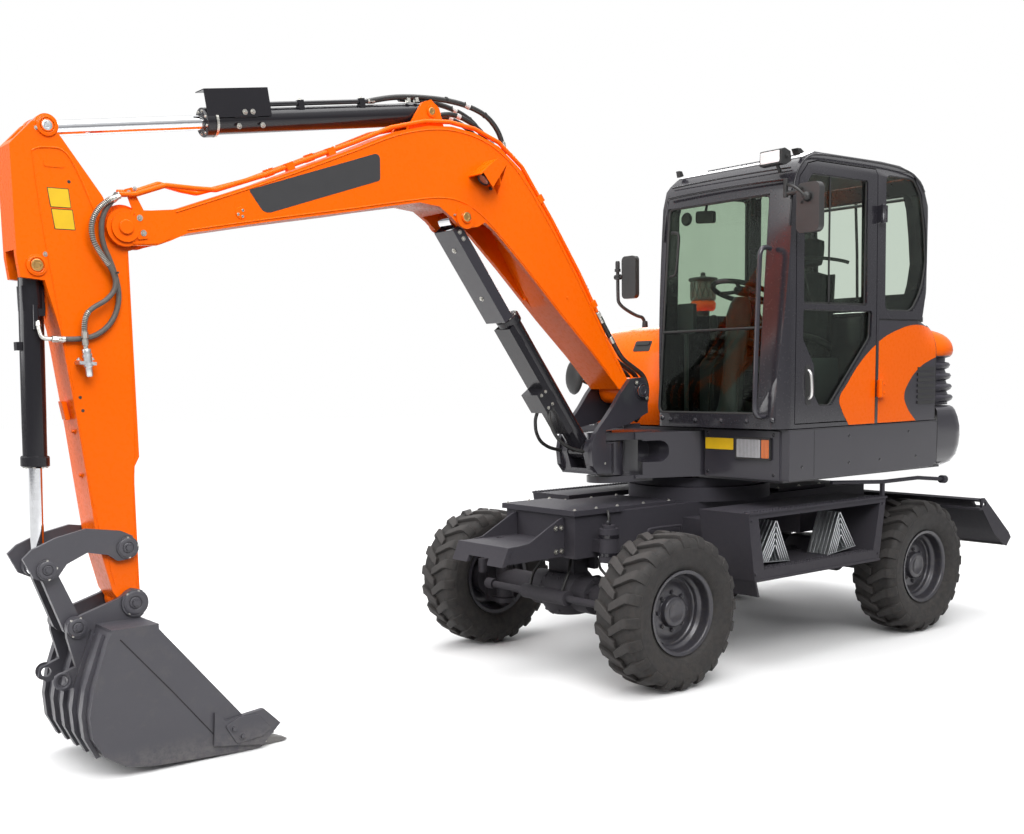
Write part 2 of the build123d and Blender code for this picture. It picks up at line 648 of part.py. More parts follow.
# Recesses of the underside that take the boom cylinder when it is drawn in
CHANNEL = [(1036, 1640), (1036, 1742), (1190, 1936), (1300, 2060), (1500, 2362), (1560, 2462), (1700, 2300)]
WELL = [(1330, 1990), (1330, 2100), (1500, 2362), (1652, 2640), (1712, 2690), (1800, 2672), (1950, 2560),
        (2062, 2430), (1700, 2300)]


def boom():
    """Bent box boom: foot boss, recessed underside, forked tip and cylinder lugs."""
    body = side_plate(BOOM_TOP + [(640, 1600)] + BOOM_UNDER, (-BOOM_HALF, BOOM_HALF))
    body += pin(FOOT, 76, (-BOOM_HALF, BOOM_HALF)) + pin(FOOT, 35, (-EAR_OUT - 8, EAR_OUT + 8))
    body -= side_plate(CHANNEL, (-72, 72))
    body -= side_plate(WELL, (-94, 94))
    body += pin(TIP, 80, (-BOOM_HALF, BOOM_HALF))
    body -= side_plate([(3520, 2200), (3520, 2450), (3800, 2450), (3800, 2200)], (-94, 94))
    body += both_sides(pin(TIP, 62, (BOOM_HALF, BOOM_HALF + 12))) + pin(TIP, 40, (-BOOM_HALF, BOOM_HALF))
    lug_boss = pin(BOOM_LUG, 60, (BOOM_HALF, BOOM_HALF + 10))
    body += both_sides(lug_boss + pin(BOOM_LUG, 32, (BOOM_HALF, BOOM_HALF + 16)))
    lug = [(1960, 2880), (2000, 3020), (2050, 3058), (2100, 3040), (2220, 2860)]
    body += both_sides(side_plate(lug, (62, 82))) + pin(ARM_CYLINDER_BASE, 28, (-88, 88))
    # Work lamp under a folded roof on the left side
    roof = [(1745, 2776), (1852, 2692), (1848, 2687), (1745, 2768), (1722, 2648), (1717, 2649)]
    body += side_plate(roof, (BOOM_HALF, 220))
    body += rod((1752, 168, 2712), (1792, 168, 2676), 32) + box((1742, 1762), (BOOM_HALF, 168), (2700, 2720))
    # Post that holds the pipes' ends beside the fork
    post_plate = [(3588, 2398), (3640, 2398), (3672, 2490), (3640, 2500)]
    return body + side_plate(post_plate, (112, 116))


PIPE_ROUTE = [(955, 2020), (1085, 2229), (1284, 2511), (1484, 2771), (1640, 2885), (1796, 2937), (1952, 2954),
              (2106, 2942), (2308, 2890), (2508, 2804), (3000, 2607)]


def boom_pipes():
    """Steel pipes along the boom's back: two to the tip, two to the arm cylinder's hoses."""
    far_end = {104: [(3250, 104, 2520), (3350, 108, 2518), (3490, 118, 2520), (3630, 128, 2470), (3700, 128, 2464)],
               -104: [(3250, -104, 2530), (3350, -60, 2532), (3490, 40, 2536), (3630, 99.5, 2482),
                      (3700, 100.8, 2477)]}
    pipes = []
    for y in (-36, 36):
        pipes.append(tube([(x, y, z) for x, z in PIPE_ROUTE[:5]], 11, 50))
    # Clamp blocks on the outer pipes: run of the route, share of the way along it
    blocks = Part()
    for index, share in ((0, 0.2), (2, 0.4), (9, 0.3), (9, 0.75)):
        start, end = PIPE_ROUTE[index], PIPE_ROUTE[index + 1]
        along = Vector(end[0] - start[0], 0, end[1] - start[1]).normalized()
        inward = Vector(along.Z, 0, -along.X)
        at = Vector(*middle(start)) + (Vector(*middle(end)) - Vector(*middle(start))) * share
        corners = [at - along * 20 - inward * 16, at + along * 20 - inward * 16,
                   at + along * 20 + inward * 20, at - along * 20 + inward * 20]
        blocks += side_plate([(point.X, point.Z) for point in corners], (88, 118))
    for y, tail in far_end.items():
        pipe = tube([(x, y, z) for x, z in PIPE_ROUTE] + tail, 11, 50)
        pipes.append(pipe + (blocks if y > 0 else mirror(blocks, about=Plane.XZ)))
    return Compound(pipes)


def arm_cylinder_hoses():
    """Hoses from the pipes' ends over the boom's bend to the arm cylinder."""
    upper = [(2384, 30, 3019), (2290, 30, 3044), (2170, 30, 3070), (2050, 30, 3078), (1950, 52, 3068),
             (1850, 66, 3032), (1760, 70, 2972), (1700, 70, 2896)]
    hoses = [hose(upper, 13), hose([(x, -y, z) for x, y, z in upper[2:]], 13)]
    lower = [(1988, 2992), (1930, 2996), (1860, 2972), (1790, 2936), (1735, 2904), (1668, 2893)]
    for y in (-36, 36):
        hoses.append(hose([(x, y, z) for x, z in lower], 12))
    return Compound(hoses)


def post_hoses():
    """Hoses from the swing post: four up to the boom's pipes, three to the boom cylinder."""
    rise = [(646, 1391), (600, 1432), (556, 1500), (546, 1580), (578, 1656), (655, 1700), (762, 1755),
            (860, 1888), (948, 2010)]
    hoses = []
    for y in (-104, -36, 36, 104):
        near = y * 0.92
        hoses.append(hose([(x, y if index > 5 else near, z) for index, (x, z) in enumerate(rise)], 14))
    loop = [(1273, 1464), (1281, 1420), (1266, 1352), (1222, 1290), (1150, 1252), (1060, 1232)]
    spread = (50, 62, 78, 90, 97, 98)
    hoses.append(hose([(x, y, z) for (x, z), y in zip(loop, spread)], 10))
    hoses.append(hose([(x, -y, z) for (x, z), y in zip(loop, spread)], 10))
    return Compound(hoses)


def arm_hoses():
    """Two hoses from the pipes' ends down the arm's left side: bucket cylinder and quick coupler."""
    feed = [(3706, 128, 2463), (3766, 132, 2440), (3828, 128, 2368), (3828, 118, 2280), (3768, 108, 2170),
            (3730, 106, 2060), (3762, 106, 1935), (3850, 106, 1870), (3950, 106, 1862), (4030, 100, 1862),
            (4058, 72, 1880)]
    drop = [(3706, 101, 2476), (3752, 106, 2452), (3790, 118, 2390), (3788, 132, 2290), (3764, 136, 2180),
            (3746, 134, 2090), (3786, 130, 2030), (3848, 130, 2008), (3884, 136, 1950), (3884, 136, 1800)]
    coupler = rod((3884, 136, 1800), (3884, 136, 1690), 18) + rod((3884, 136, 1775), (3884, 136, 1740), 23)
    coupler += box((3852, 3916), (ARM_HALF, 150), (1752, 1764))
    return Compound([hose(feed, 11), hose(drop, 10) + coupler])


def arm():
    """Tapered box arm with lugs for both cylinders and the bucket pins."""
    outer = [(3930, 2700), (3760, 2460), (3660, 2250), (3660, 1350), (3688, 1300), (3690, 700), (3770, 700),
             (3812, 770), (3866, 1000), (3920, 1500), (3970, 1900), (4020, 2100), (4118, 2110), (4128, 2200),
             (4128, 2640), (4030, 2740)]
    body = side_plate(outer, (-ARM_HALF, ARM_HALF))
    body += pin(TIP, 98, (-ARM_HALF, ARM_HALF)) - pin(TIP, 40 + PLAY, (-200, 200))
    body -= pin(TIP, 40 + PLAY, (-200, 200))
    body += pin(ARM_LUG, 48, (-ARM_HALF, ARM_HALF))
    body -= side_plate([(3850, 2640), (3850, 2800), (4100, 2800), (4100, 2640)], (-48, 48))
    body -= side_plate([(3980, 1900), (3980, 2222), (4200, 2222), (4200, 1900)], (-56, 56))
    body += both_sides(pin(ARM_LUG, 26, (ARM_HALF, ARM_HALF + 8)))
    body += pin(BUCKET_CYLINDER_BASE, 26, (-ARM_HALF - 8, ARM_HALF + 8))
    body += pin(BUCKET_PIN, 58, (-ARM_HALF, ARM_HALF)) + pin(ROCKER_PIN, 48, (-ARM_HALF, ARM_HALF))
    body -= pin(BUCKET_PIN, 30 + PLAY, (-200, 200))
    body -= pin(ROCKER_PIN, 26 + PLAY, (-200, 200))
    return body


def rockers():
    """Pair of curved rocker plates with their shared pin through the arm."""
    curve = [(3700, 960), (3720, 1010), (3770, 1035), (3920, 1058), (4050, 1030), (4150, 990), (4190, 955),
             (4150, 870), (4095, 842), (4045, 870), (4010, 915), (3920, 955), (3830, 935), (3790, 905), (3745, 908)]
    plates = both_sides(side_plate(curve, (94, 114)) + pin(ROCKER_PIN, 48, (94, 122)))
    plates += both_sides(pin(LINK_TOP, 44, (94, 126)))
    return plates + pin(ROCKER_PIN, 26, (-94, 94))


def bucket_link():
    """H link from the rockers down to the bucket ears."""
    plate = [(4062, 930), (4130, 920), (4110, 860), (4028, 620), (3985, 598), (3945, 640), (4040, 870)]
    link = both_sides(side_plate(plate, (52, 84)) + pin(LINK_TOP, 46, (52, 90)) + pin(LINK_LOW, 44, (52, 90)))
    link += side_plate([(4060, 800), (4030, 710), (4000, 720), (4030, 810)], (-53, 53))
    return link


BUCKET = [(3240, 8), (3290, 2), (3760, 26), (3880, 50), (3965, 110), (4012, 195), (4018, 290), (3996, 400),
          (3925, 600), (3900, 640), (3740, 640), (3700, 622), (3320, 160)]


def bucket():
    """Bucket shell with side plates, stiffened top, ears, hook eye and wear strips."""
    outer = side_plate(BUCKET, (-BUCKET_HALF, BUCKET_HALF))
    hollow = [(3180, 24), (3290, 17), (3755, 41), (3872, 65), (3952, 120), (3997, 200), (4002, 288), (3982, 395),
              (3915, 585), (3890, 622), (3745, 622), (3640, 640), (3100, 160)]
    body = outer - side_plate(hollow, (-BUCKET_HALF + 14, BUCKET_HALF - 14))
    body += box((3700, 3905), (-BUCKET_HALF, BUCKET_HALF), (622, 645))
    ear = [(3675, 700), (3690, 765), (3735, 778), (3800, 740), (3960, 690), (4030, 660), (4030, 600), (4000, 470),
           (4085, 440), (4095, 400), (4060, 372), (3990, 390), (3920, 590), (3720, 636), (3690, 660)]
    ears = side_plate(ear, (94, 120)) + pin(BUCKET_PIN, 60, (94, 132)) + pin(LINK_LOW, 46, (94, 132))
    body += both_sides(ears)
    body -= both_sides(pin((4060, 418), 22, (90, 125)))
    body += pin(BUCKET_PIN, 30, (-94, 94))
    for y in range(-240, 241, 120):
        strip = [(3965, 100), (3985, 95), (4030, 190), (4036, 292), (4016, 400), (3930, 625), (3912, 600),
                 (3996, 400), (4018, 290), (4012, 195)]
        body += side_plate(strip, (y - 20, y + 20))
    cutter = [(3150, 105), (3230, 185), (3420, 165), (3470, 210), (3480, 60), (3240, 20)]
    return body + both_sides(side_plate(cutter, (BUCKET_HALF - 14, BUCKET_HALF + 14)))


def bucket_teeth():
    """Five teeth on the lip."""
    tooth = [(3240, 26), (3240, 2), (3130, 3), (3095, 10), (3130, 24), (3190, 40), (3300, 40), (3300, 20)]
    teeth = [side_plate(tooth, (y - 28, y + 28)) for y in range(-256, 257, 128)]
    return Compound(teeth)


def channel_guard(start, end, inner, half, flange):
    """Folded channel in front of the boom cylinder, between two distances from its base."""
    along = Vector(*middle(BOOM_LUG)) - Vector(*middle(BOOM_CYLINDER_BASE))
    along = along.normalized()
    out = Vector(along.Z, 0, -along.X)
    base = Vector(*middle(BOOM_CYLINDER_BASE))

    def strip(near, far):
        places = ((start, far), (end, far), (end, near), (start, near))
        points = [base + along * distance + out * offset_out for distance, offset_out in places]
        return [(point.X, point.Z) for point in points]

    plate = side_plate(strip(inner, inner + 6), (-half, half))
    return plate + both_sides(side_plate(strip(flange, inner + 6), (half - 5, half)))


def boom_cylinder():
    """Boom cylinder's barrel with the lower guard and its valve block."""
    body = barrel(BOOM_CYLINDER_BASE, BOOM_LUG, 925, 58, 33, 52, 60, 27)
    body += channel_guard(170, 890, 64, 68, 30)
    for start in (380, 760):
        body += channel_guard(start, start + 60, 40, 60, 20)
    along = (Vector(*middle(BOOM_LUG)) - Vector(*middle(BOOM_CYLINDER_BASE))).normalized()
    valve = Plane(origin=middle(BOOM_CYLINDER_BASE), x_dir=along, z_dir=(0, -1, 0))
    return body + valve * box((365, 490), (-128, -68), (-70, 70))


def arm_cylinder():
    """Arm cylinder's barrel with its feed pipe and the folded hose guard near its head."""
    body = barrel(ARM_CYLINDER_BASE, ARM_LUG, 1215, 55, 33, 50, 50, 28)
    along = (Vector(*middle(ARM_LUG)) - Vector(*middle(ARM_CYLINDER_BASE))).normalized()
    lying = Plane(origin=middle(ARM_CYLINDER_BASE), x_dir=along, z_dir=(along.Z * -1, 0, along.X))
    guard = box((890, 1210), (58, 62), (10, 136)) + box((890, 1210), (-24, 62), (132, 136))
    guard += box((960, 1080), (40, 60), (6, 40))
    pipe = lying * rod((340, 30, 66), (1170, 30, 66), 11)
    for start in (360, 700, 1120):
        pipe += lying * box((start, start + 30), (16, 44), (36, 80))
    return body + lying * guard + pipe


# ---- Nodes

write(chassis_frame(), "chassis_frame")
write(front_bracket(), "front_bracket")
write(front_axle(), "front_axle")
write(rear_axle(), "rear_axle")
write(drive_shafts(), "drive_shafts")
write(slew_ring(), "slew_ring")
write(side_steps(), "side_steps")
write(wheel_chocks(), "wheel_chocks")
write(knuckle(), "knuckle_left")
write(mirror(knuckle(), about=Plane.XZ), "knuckle_right")
write(steering_rod(), "steering_rod")
write(blade(), "blade")
write(barrel(BLADE_BASE, BLADE_LUG, 300, 45, 19, 36, 30, 18), "blade_cylinder")
write(ram(BLADE_BASE, BLADE_LUG, 150, 18, 32, 30), "blade_rod")
for name, x, y in (
    ("front_left", AXLE_X, WHEEL_Y),
    ("front_right", AXLE_X, -WHEEL_Y),
    ("rear_left", -AXLE_X, WHEEL_Y),
    ("rear_right", -AXLE_X, -WHEEL_Y),
):
    turn = Rot(0, 0, 0 if y > 0 else 180)
    write(Pos(x, y, AXLE_Z) * turn * rim(), f"rim_{name}")
    write(Pos(x, y, AXLE_Z) * turn * tyre(), f"tyre_{name}")

write(upper_frame(), "upper_frame")
write(lower_skirts(), "lower_skirts")
write(counterweight(), "counterweight")
write(engine_hood(), "engine_hood")
write(quarter_panel(), "quarter_panel")
rear_cover, front_cover = right_covers()
write(rear_cover, "right_rear_cover")
write(front_cover, "right_front_cover")
write(louvre_panels(), "louvre_panels")
write(box((-1060, -640), (-500, 620), (1100, 1780)), "engine_block")
cab_frame, cab_roof, door_frame = cab_parts()
write(cab_frame, "cab_frame")
write(cab_roof, "cab_roof")
write(door_frame, "door_frame")
cab_glass, door_glass = glass_parts()
write(cab_glass, "cab_glass")
write(door_glass, "door_glass")
write(seat(), "seat")
write(controls(), "controls")
write(mirror_left(), "mirror_left")
write(mirror_right(), "mirror_right")
write(lamps(), "lamps")
write(precleaner(), "precleaner")

write(swing_post(), "swing_post")
write(post_hoses(), "post_hoses")
write(boom(), "boom")
write(boom_pipes(), "boom_pipes")
write(boom_cylinder(), "boom_cylinder")
write(ram(BOOM_CYLINDER_BASE, BOOM_LUG, 520, 32, 52, 50), "boom_rod")
write(channel_guard(940, 1517, 76, 84, 20), "boom_rod_guard")
write(arm(), "arm")
write(arm_hoses(), "arm_hoses")
write(arm_cylinder(), "arm_cylinder")
write(arm_cylinder_hoses(), "arm_cylinder_hoses")
write(ram(ARM_CYLINDER_BASE, ARM_LUG, 480, 32, 46, 42), "arm_rod")
write(barrel(BUCKET_CYLINDER_BASE, LINK_TOP, 832, 50, 29, 46, 42, 26), "bucket_cylinder")
write(ram(BUCKET_CYLINDER_BASE, LINK_TOP, 380, 28, 42, 44), "bucket_rod")
write(rockers(), "rockers")
write(bucket_link(), "bucket_link")
write(bucket(), "bucket")
write(bucket_teeth(), "bucket_teeth")
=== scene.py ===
from math import cos, sin, atan2, pi, radians
import bmesh
import bpy
from mathutils import Matrix, Vector


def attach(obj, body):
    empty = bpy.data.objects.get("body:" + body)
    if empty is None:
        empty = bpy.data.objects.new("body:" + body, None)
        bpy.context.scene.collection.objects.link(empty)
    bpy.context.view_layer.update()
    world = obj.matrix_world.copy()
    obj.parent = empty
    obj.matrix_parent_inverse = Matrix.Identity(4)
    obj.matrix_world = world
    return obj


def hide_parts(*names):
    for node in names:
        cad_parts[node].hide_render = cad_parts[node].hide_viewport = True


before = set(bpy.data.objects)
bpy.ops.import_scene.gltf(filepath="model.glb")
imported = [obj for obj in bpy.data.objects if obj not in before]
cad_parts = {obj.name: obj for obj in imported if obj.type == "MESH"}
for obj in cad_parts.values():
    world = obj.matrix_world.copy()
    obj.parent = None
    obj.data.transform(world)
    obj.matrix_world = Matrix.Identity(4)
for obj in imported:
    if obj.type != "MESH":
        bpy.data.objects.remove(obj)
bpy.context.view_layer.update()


# ---- Studio: a pale seamless floor, broad soft lights and the camera at the machine's front left.
# The floor is a large disc; the lights are soft boxes overhead and to both sides.

class Wire:
    """A shader value that adds, scales and mixes like a number."""

    def __init__(self, finish, socket):
        self.finish = finish
        self.socket = socket

    def maths(self, operation, *others):
        return self.finish.node("ShaderNodeMath", {"operation": operation}, self, *others)

    def __add__(self, other):
        return self.maths("ADD", other)

    def __sub__(self, other):
        return self.maths("SUBTRACT", other)

    def __rsub__(self, other):
        return self.finish.node("ShaderNodeMath", {"operation": "SUBTRACT"}, other, self)

    def __mul__(self, other):
        return self.maths("MULTIPLY", other)

    def __truediv__(self, other):
        return self.maths("DIVIDE", other)

    __radd__ = __add__
    __rmul__ = __mul__

    def above(self, edge, soft=0.001):
        """0 below an edge, 1 above it, with a soft step between."""
        return self.finish.node("ShaderNodeMapRange", {"interpolation_type": "SMOOTHSTEP"},
                                self, edge - soft, edge + soft, 0.0, 1.0)

    def below(self, edge, soft=0.001):
        return 1 - self.above(edge, soft)

    def within(self, low, high, soft=0.001):
        return self.above(low, soft) * self.below(high, soft)

    def spread(self, low, high):
        """A 0-to-1 value stretched between two numbers."""
        return self.finish.node("ShaderNodeMapRange", {}, self, 0.0, 1.0, low, high)


class Finish:
    """One material: its shader, and the patterns that feed it."""

    def __init__(self, name, colour, roughness, metallic=0.0, coat=0.0, coat_roughness=0.1):
        self.material = bpy.data.materials.new(name)
        self.material.use_nodes = True
        self.tree = self.material.node_tree
        self.shader = self.tree.nodes["Principled BSDF"]
        self.set("Base Color", (*colour, 1))
        self.set("Roughness", roughness)
        self.set("Metallic", metallic)
        self.set("Coat Weight", coat)
        self.set("Coat Roughness", coat_roughness)

    def set(self, name, value):
        if isinstance(value, Wire):
            self.tree.links.new(value.socket, self.shader.inputs[name])
        else:
            self.shader.inputs[name].default_value = value

    def node(self, kind, settings=None, *values, out=0):
        made = self.tree.nodes.new(kind)
        for key, value in (settings or {}).items():
            setattr(made, key, value)
        for place, value in enumerate(values):
            if isinstance(value, Wire):
                self.tree.links.new(value.socket, made.inputs[place])
            elif value is not None:
                made.inputs[place].default_value = value
        return Wire(self, made.outputs[out])

    def place(self):
        return self.node("ShaderNodeTexCoord", out=3)

    def axis(self, index):
        return self.node("ShaderNodeSeparateXYZ", None, self.place(), out=index)

    def noise(self, scale, detail=3.0, rough=0.5):
        made = self.node("ShaderNodeTexNoise", None, self.place())
        inputs = made.socket.node.inputs
        inputs["Scale"].default_value = scale
        inputs["Detail"].default_value = detail
        inputs["Roughness"].default_value = rough
        return made

    def mix(self, share, low, high):
        """Two colours, or a pattern's colours, by a share from 0 to 1."""
        made = self.tree.nodes.new("ShaderNodeMix")
        made.data_type = "RGBA"
        for place, value in ((0, share), (6, low), (7, high)):
            if isinstance(value, Wire):
                self.tree.links.new(value.socket, made.inputs[place])
            elif place:
                made.inputs[place].default_value = (*value, 1)
            else:
                made.inputs[place].default_value = value
        return Wire(self, made.outputs[2])

    def bump(self, height, strength, distance=0.001):
        made = self.tree.nodes.new("ShaderNodeBump")
        made.inputs["Strength"].default_value = strength
        made.inputs["Distance"].default_value = distance
        self.tree.links.new(height.socket, made.inputs["Height"])
        self.tree.links.new(made.outputs["Normal"], self.shader.inputs["Normal"])


def floor():
    """A disc of pale paper that brightens to the white of the dome round it."""
    paper = Finish("floor_paper", (0.95, 0.95, 0.95), 0.9)
    x, y = paper.axis(0), paper.axis(1)
    far = ((x * x + y * y).maths("SQRT") / 14.0 - 0.45).maths("MAXIMUM", 0.0).maths("MINIMUM", 1.0)
    near = paper.mix(paper.noise(1.2), (0.80, 0.80, 0.80), (0.815, 0.815, 0.815))
    paper.set("Base Color", paper.mix(far, near, (0.0, 0.0, 0.0)))
    paper.set("Emission Color", paper.mix(far, (0.0, 0.0, 0.0), (1.0, 1.0, 1.0)))
    paper.set("Emission Strength", 1.0)
    white = Finish("dome_white", (0.0, 0.0, 0.0), 1.0)
    white.set("Specular IOR Level", 0.0)
    white.set("Emission Color", (1, 1, 1, 1))
    white.set("Emission Strength", 1.0)
    disc = bmesh.new()
    bmesh.ops.create_circle(disc, cap_ends=True, segments=64, radius=40)
    dome = bmesh.new()
    bmesh.ops.create_uvsphere(dome, u_segments=64, v_segments=32, radius=40)
    bmesh.ops.reverse_faces(dome, faces=dome.faces)
    for name, shape, finish in (("floor", disc, paper), ("dome", dome, white)):
        mesh = bpy.data.meshes.new(name)
        shape.to_mesh(mesh)
        shape.free()
        mesh.materials.append(finish.material)
        made = bpy.data.objects.new(name, mesh)
        made.visible_diffuse = False
        made.visible_glossy = name == "floor"
        made.visible_shadow = False
        bpy.context.scene.collection.objects.link(made)


def soft_box(name, place, aim, size, power):
    light = bpy.data.lights.new(name, "AREA")
    light.shape = "RECTANGLE"
    light.size, light.size_y = size
    light.energy = power
    made = bpy.data.objects.new(name, light)
    made.location = place
    made.rotation_euler = (Vector(aim) - Vector(place)).to_track_quat("-Z", "Y").to_euler()
    made.visible_camera = False
    made.visible_transmission = False
    bpy.context.scene.collection.objects.link(made)


def air():
    """Light from all round: bright overhead, dim at the horizon and near dark from below."""
    sky = bpy.data.worlds.new("studio_air")
    sky.use_nodes = True
    nodes, links = sky.node_tree.nodes, sky.node_tree.links
    height = nodes.new("ShaderNodeSeparateXYZ")
    links.new(nodes.new("ShaderNodeTexCoord").outputs["Generated"], height.inputs[0])
    ramp = nodes.new("ShaderNodeValToRGB")
    ramp.color_ramp.elements[0].color = (0.09, 0.09, 0.095, 1)
    ramp.color_ramp.elements[1].color = (1, 1, 1, 1)
    middle_stop = ramp.color_ramp.elements.new(0.5)
    middle_stop.color = (0.17, 0.17, 0.18, 1)
    shift = nodes.new("ShaderNodeMapRange")
    shift.inputs["From Min"].default_value = -1.0
    links.new(height.outputs[2], shift.inputs[0])
    links.new(shift.outputs[0], ramp.inputs[0])
    links.new(ramp.outputs[0], nodes["Background"].inputs["Color"])
    nodes["Background"].inputs["Strength"].default_value = 1.5
    bpy.context.scene.world = sky


def camera():
    lens = bpy.data.cameras.new("camera")
    lens.lens = 42.70
    lens.sensor_width = 36
    lens.shift_x = 0.0079
    lens.shift_y = 0.0993
    made = bpy.data.objects.new("camera", lens)
    yaw, pitch, roll = radians(-128.06), radians(6.88), radians(-1.02)
    ahead = Vector((cos(yaw) * cos(pitch), sin(yaw) * cos(pitch), -sin(pitch)))
    right = ahead.cross(Vector((0, 0, 1))).normalized()
    up = right.cross(ahead)
    across = right * cos(roll) + up * sin(roll)
    upward = up * cos(roll) - right * sin(roll)
    made.matrix_world = Matrix.Translation((5.686, 5.260, 1.690)) @ Matrix(
        (across, upward, -ahead)).transposed().to_4x4()
    bpy.context.scene.collection.objects.link(made)
    bpy.context.scene.camera = made


floor()
soft_box("key_light", (5.0, 7.0, 7.0), (1.0, 0.0, 1.2), (6, 4), 620)
soft_box("fill_light", (9.5, -3.0, 4.5), (1.2, 0.0, 1.2), (6, 5), 350)
soft_box("top_light", (0.5, 0.5, 9.0), (0.8, 0.0, 0.0), (9, 7), 520)
soft_box("back_light", (-6.0, -6.0, 5.0), (0.0, 0.0, 1.5), (5, 4), 250)
air()
camera()
bpy.context.scene.view_settings.view_transform = "Standard"


# ---- Painted steelwork: every welded or cast body keeps its shape and gets rolled edges and paint.
# Charcoal and orange are sprayed enamel with a faint orange peel; the chassis is duller, with dust low down.

charcoal_tones = (0.034, 0.032, 0.041), (0.048, 0.045, 0.056)
orange_tones = (0.94, 0.128, 0.0), (1.0, 0.152, 0.001)


def charcoal_enamel(name, tone=1.0, dust=0.0, rough=0.36, coat=0.35):
    paint = Finish(name, (0.04 * tone, 0.038 * tone, 0.048 * tone), rough, coat=coat, coat_roughness=0.12)
    paint.set("Specular IOR Level", 0.25)
    deep, pale = (tuple(c * tone for c in shade) for shade in charcoal_tones)
    colour = paint.mix(paint.noise(2.2, 4), deep, pale)
    if dust:
        low = paint.axis(2).spread(1.0, 0.0).maths("MAXIMUM", 0.0)
        grit = (paint.noise(34, 5, 0.7) * low * dust).maths("MINIMUM", 1.0)
        colour = paint.mix(grit, colour, (0.19, 0.17, 0.15))
    paint.set("Base Color", colour)
    paint.set("Roughness", paint.noise(60, 2).spread(rough - 0.05, rough + 0.08))
    paint.bump(paint.noise(420, 2), 0.12, 0.0006)
    return paint.material


def orange_enamel(name, rough=0.26):
    paint = Finish(name, (1.0, 0.14, 0.0), rough, coat=0.08, coat_roughness=0.1)
    paint.set("Specular IOR Level", 0.12)
    colour = paint.mix(paint.noise(1.6, 4), *orange_tones)
    speck = paint.noise(90, 4, 0.7).above(0.74, 0.05) * 0.12
    paint.set("Base Color", paint.mix(speck, colour, (0.5, 0.22, 0.09)))
    paint.set("Roughness", paint.noise(45, 2).spread(rough - 0.04, rough + 0.08))
    paint.bump(paint.noise(260, 2), 0.1, 0.0006)
    return paint.material


def dress(node, material, edge=0.0, sides=2):
    """A steel part's own paint, with its sharp edges rolled over."""
    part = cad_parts[node]
    for place in range(len(part.material_slots)):
        part.material_slots[place].material = material
    if not edge:
        return
    joined = part.modifiers.new("joined", "NODES")
    joined.node_group = joined_faces()
    rolled = part.modifiers.new("rolled_edges", "BEVEL")
    rolled.width = edge
    rolled.segments = sides
    rolled.limit_method = "ANGLE"
    rolled.angle_limit = radians(32)
    rolled.use_clamp_overlap = True
    shaded = part.modifiers.new("shaded", "WEIGHTED_NORMAL")
    shaded.weight = 100
    shaded.keep_sharp = False


weld = 0.00002


def joined_faces():
    """Joins a part's loose triangles and smooths their shading."""
    if "joined_faces" in bpy.data.node_groups:
        return bpy.data.node_groups["joined_faces"]
    group = bpy.data.node_groups.new("joined_faces", "GeometryNodeTree")
    group.interface.new_socket("Geometry", in_out="INPUT", socket_type="NodeSocketGeometry")
    group.interface.new_socket("Geometry", in_out="OUTPUT", socket_type="NodeSocketGeometry")
    start = group.nodes.new("NodeGroupInput")
    merge = group.nodes.new("GeometryNodeMergeByDistance")
    merge.inputs["Distance"].default_value = weld
    smooth = group.nodes.new("GeometryNodeSetShadeSmooth")
    end = group.nodes.new("NodeGroupOutput")
    group.links.new(start.outputs[0], merge.inputs["Geometry"])
    group.links.new(merge.outputs["Geometry"], smooth.inputs["Geometry"])
    group.links.new(smooth.outputs["Geometry"], end.inputs[0])
    return group


steel = charcoal_enamel("charcoal_enamel", 0.8, 0.0, 0.3, 0.6)
cab_steel = charcoal_enamel("cab_enamel", 0.55, 0.0, 0.24, 0.9)
low_steel = charcoal_enamel("charcoal_chassis_enamel", 0.8, 0.25, 0.62, 0.0)
orange = orange_enamel("orange_enamel")
for node in ("chassis_frame", "front_bracket", "side_steps", "front_axle", "rear_axle", "drive_shafts",
             "slew_ring", "knuckle_left", "knuckle_right", "steering_rod", "blade"):
    dress(node, low_steel, 0.003)
for node in ("upper_frame", "lower_skirts", "swing_post", "boom_rod_guard", "rockers",
             "bucket_link", "bucket"):
    dress(node, steel, 0.003)
for node in ("cab_frame", "cab_roof", "door_frame"):
    dress(node, cab_steel, 0.004, 3)
for node in ("boom", "arm", "right_rear_cover", "boom_pipes"):
    dress(node, orange, 0.004)


# ---- Wheels: four tubeless tyres on deep-dish steel rims.
# The casing is spun, and its forty tread bars are lofted from the crown over the shoulders; the rubber is
# dusty low down. The rims are pressed and rolled steel, with eight nuts round a cast hub.

axle_x, wheel_y, hub_z = 1.1, 0.79, 0.42


def piece(shape, name, material, body, rolled=0.0, sides=2, crease=34):
    """A finished mesh as its own object, with rolled edges, riding on a body."""
    bmesh.ops.remove_doubles(shape, verts=shape.verts, dist=weld)
    bmesh.ops.recalc_face_normals(shape, faces=shape.faces)
    for face in shape.faces:
        face.smooth = True
    mesh = bpy.data.meshes.new(name)
    shape.to_mesh(mesh)
    shape.free()
    mesh.materials.append(material)
    made = bpy.data.objects.new(name, mesh)
    bpy.context.scene.collection.objects.link(made)
    if rolled:
        edge = made.modifiers.new("rolled_edges", "BEVEL")
        edge.width = rolled
        edge.segments = sides
        edge.limit_method = "ANGLE"
        edge.angle_limit = radians(crease)
        shaded = made.modifiers.new("shaded", "WEIGHTED_NORMAL")
        shaded.weight = 100
    else:
        mesh.set_sharp_from_angle(angle=radians(crease))
    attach(made, body)
    return made


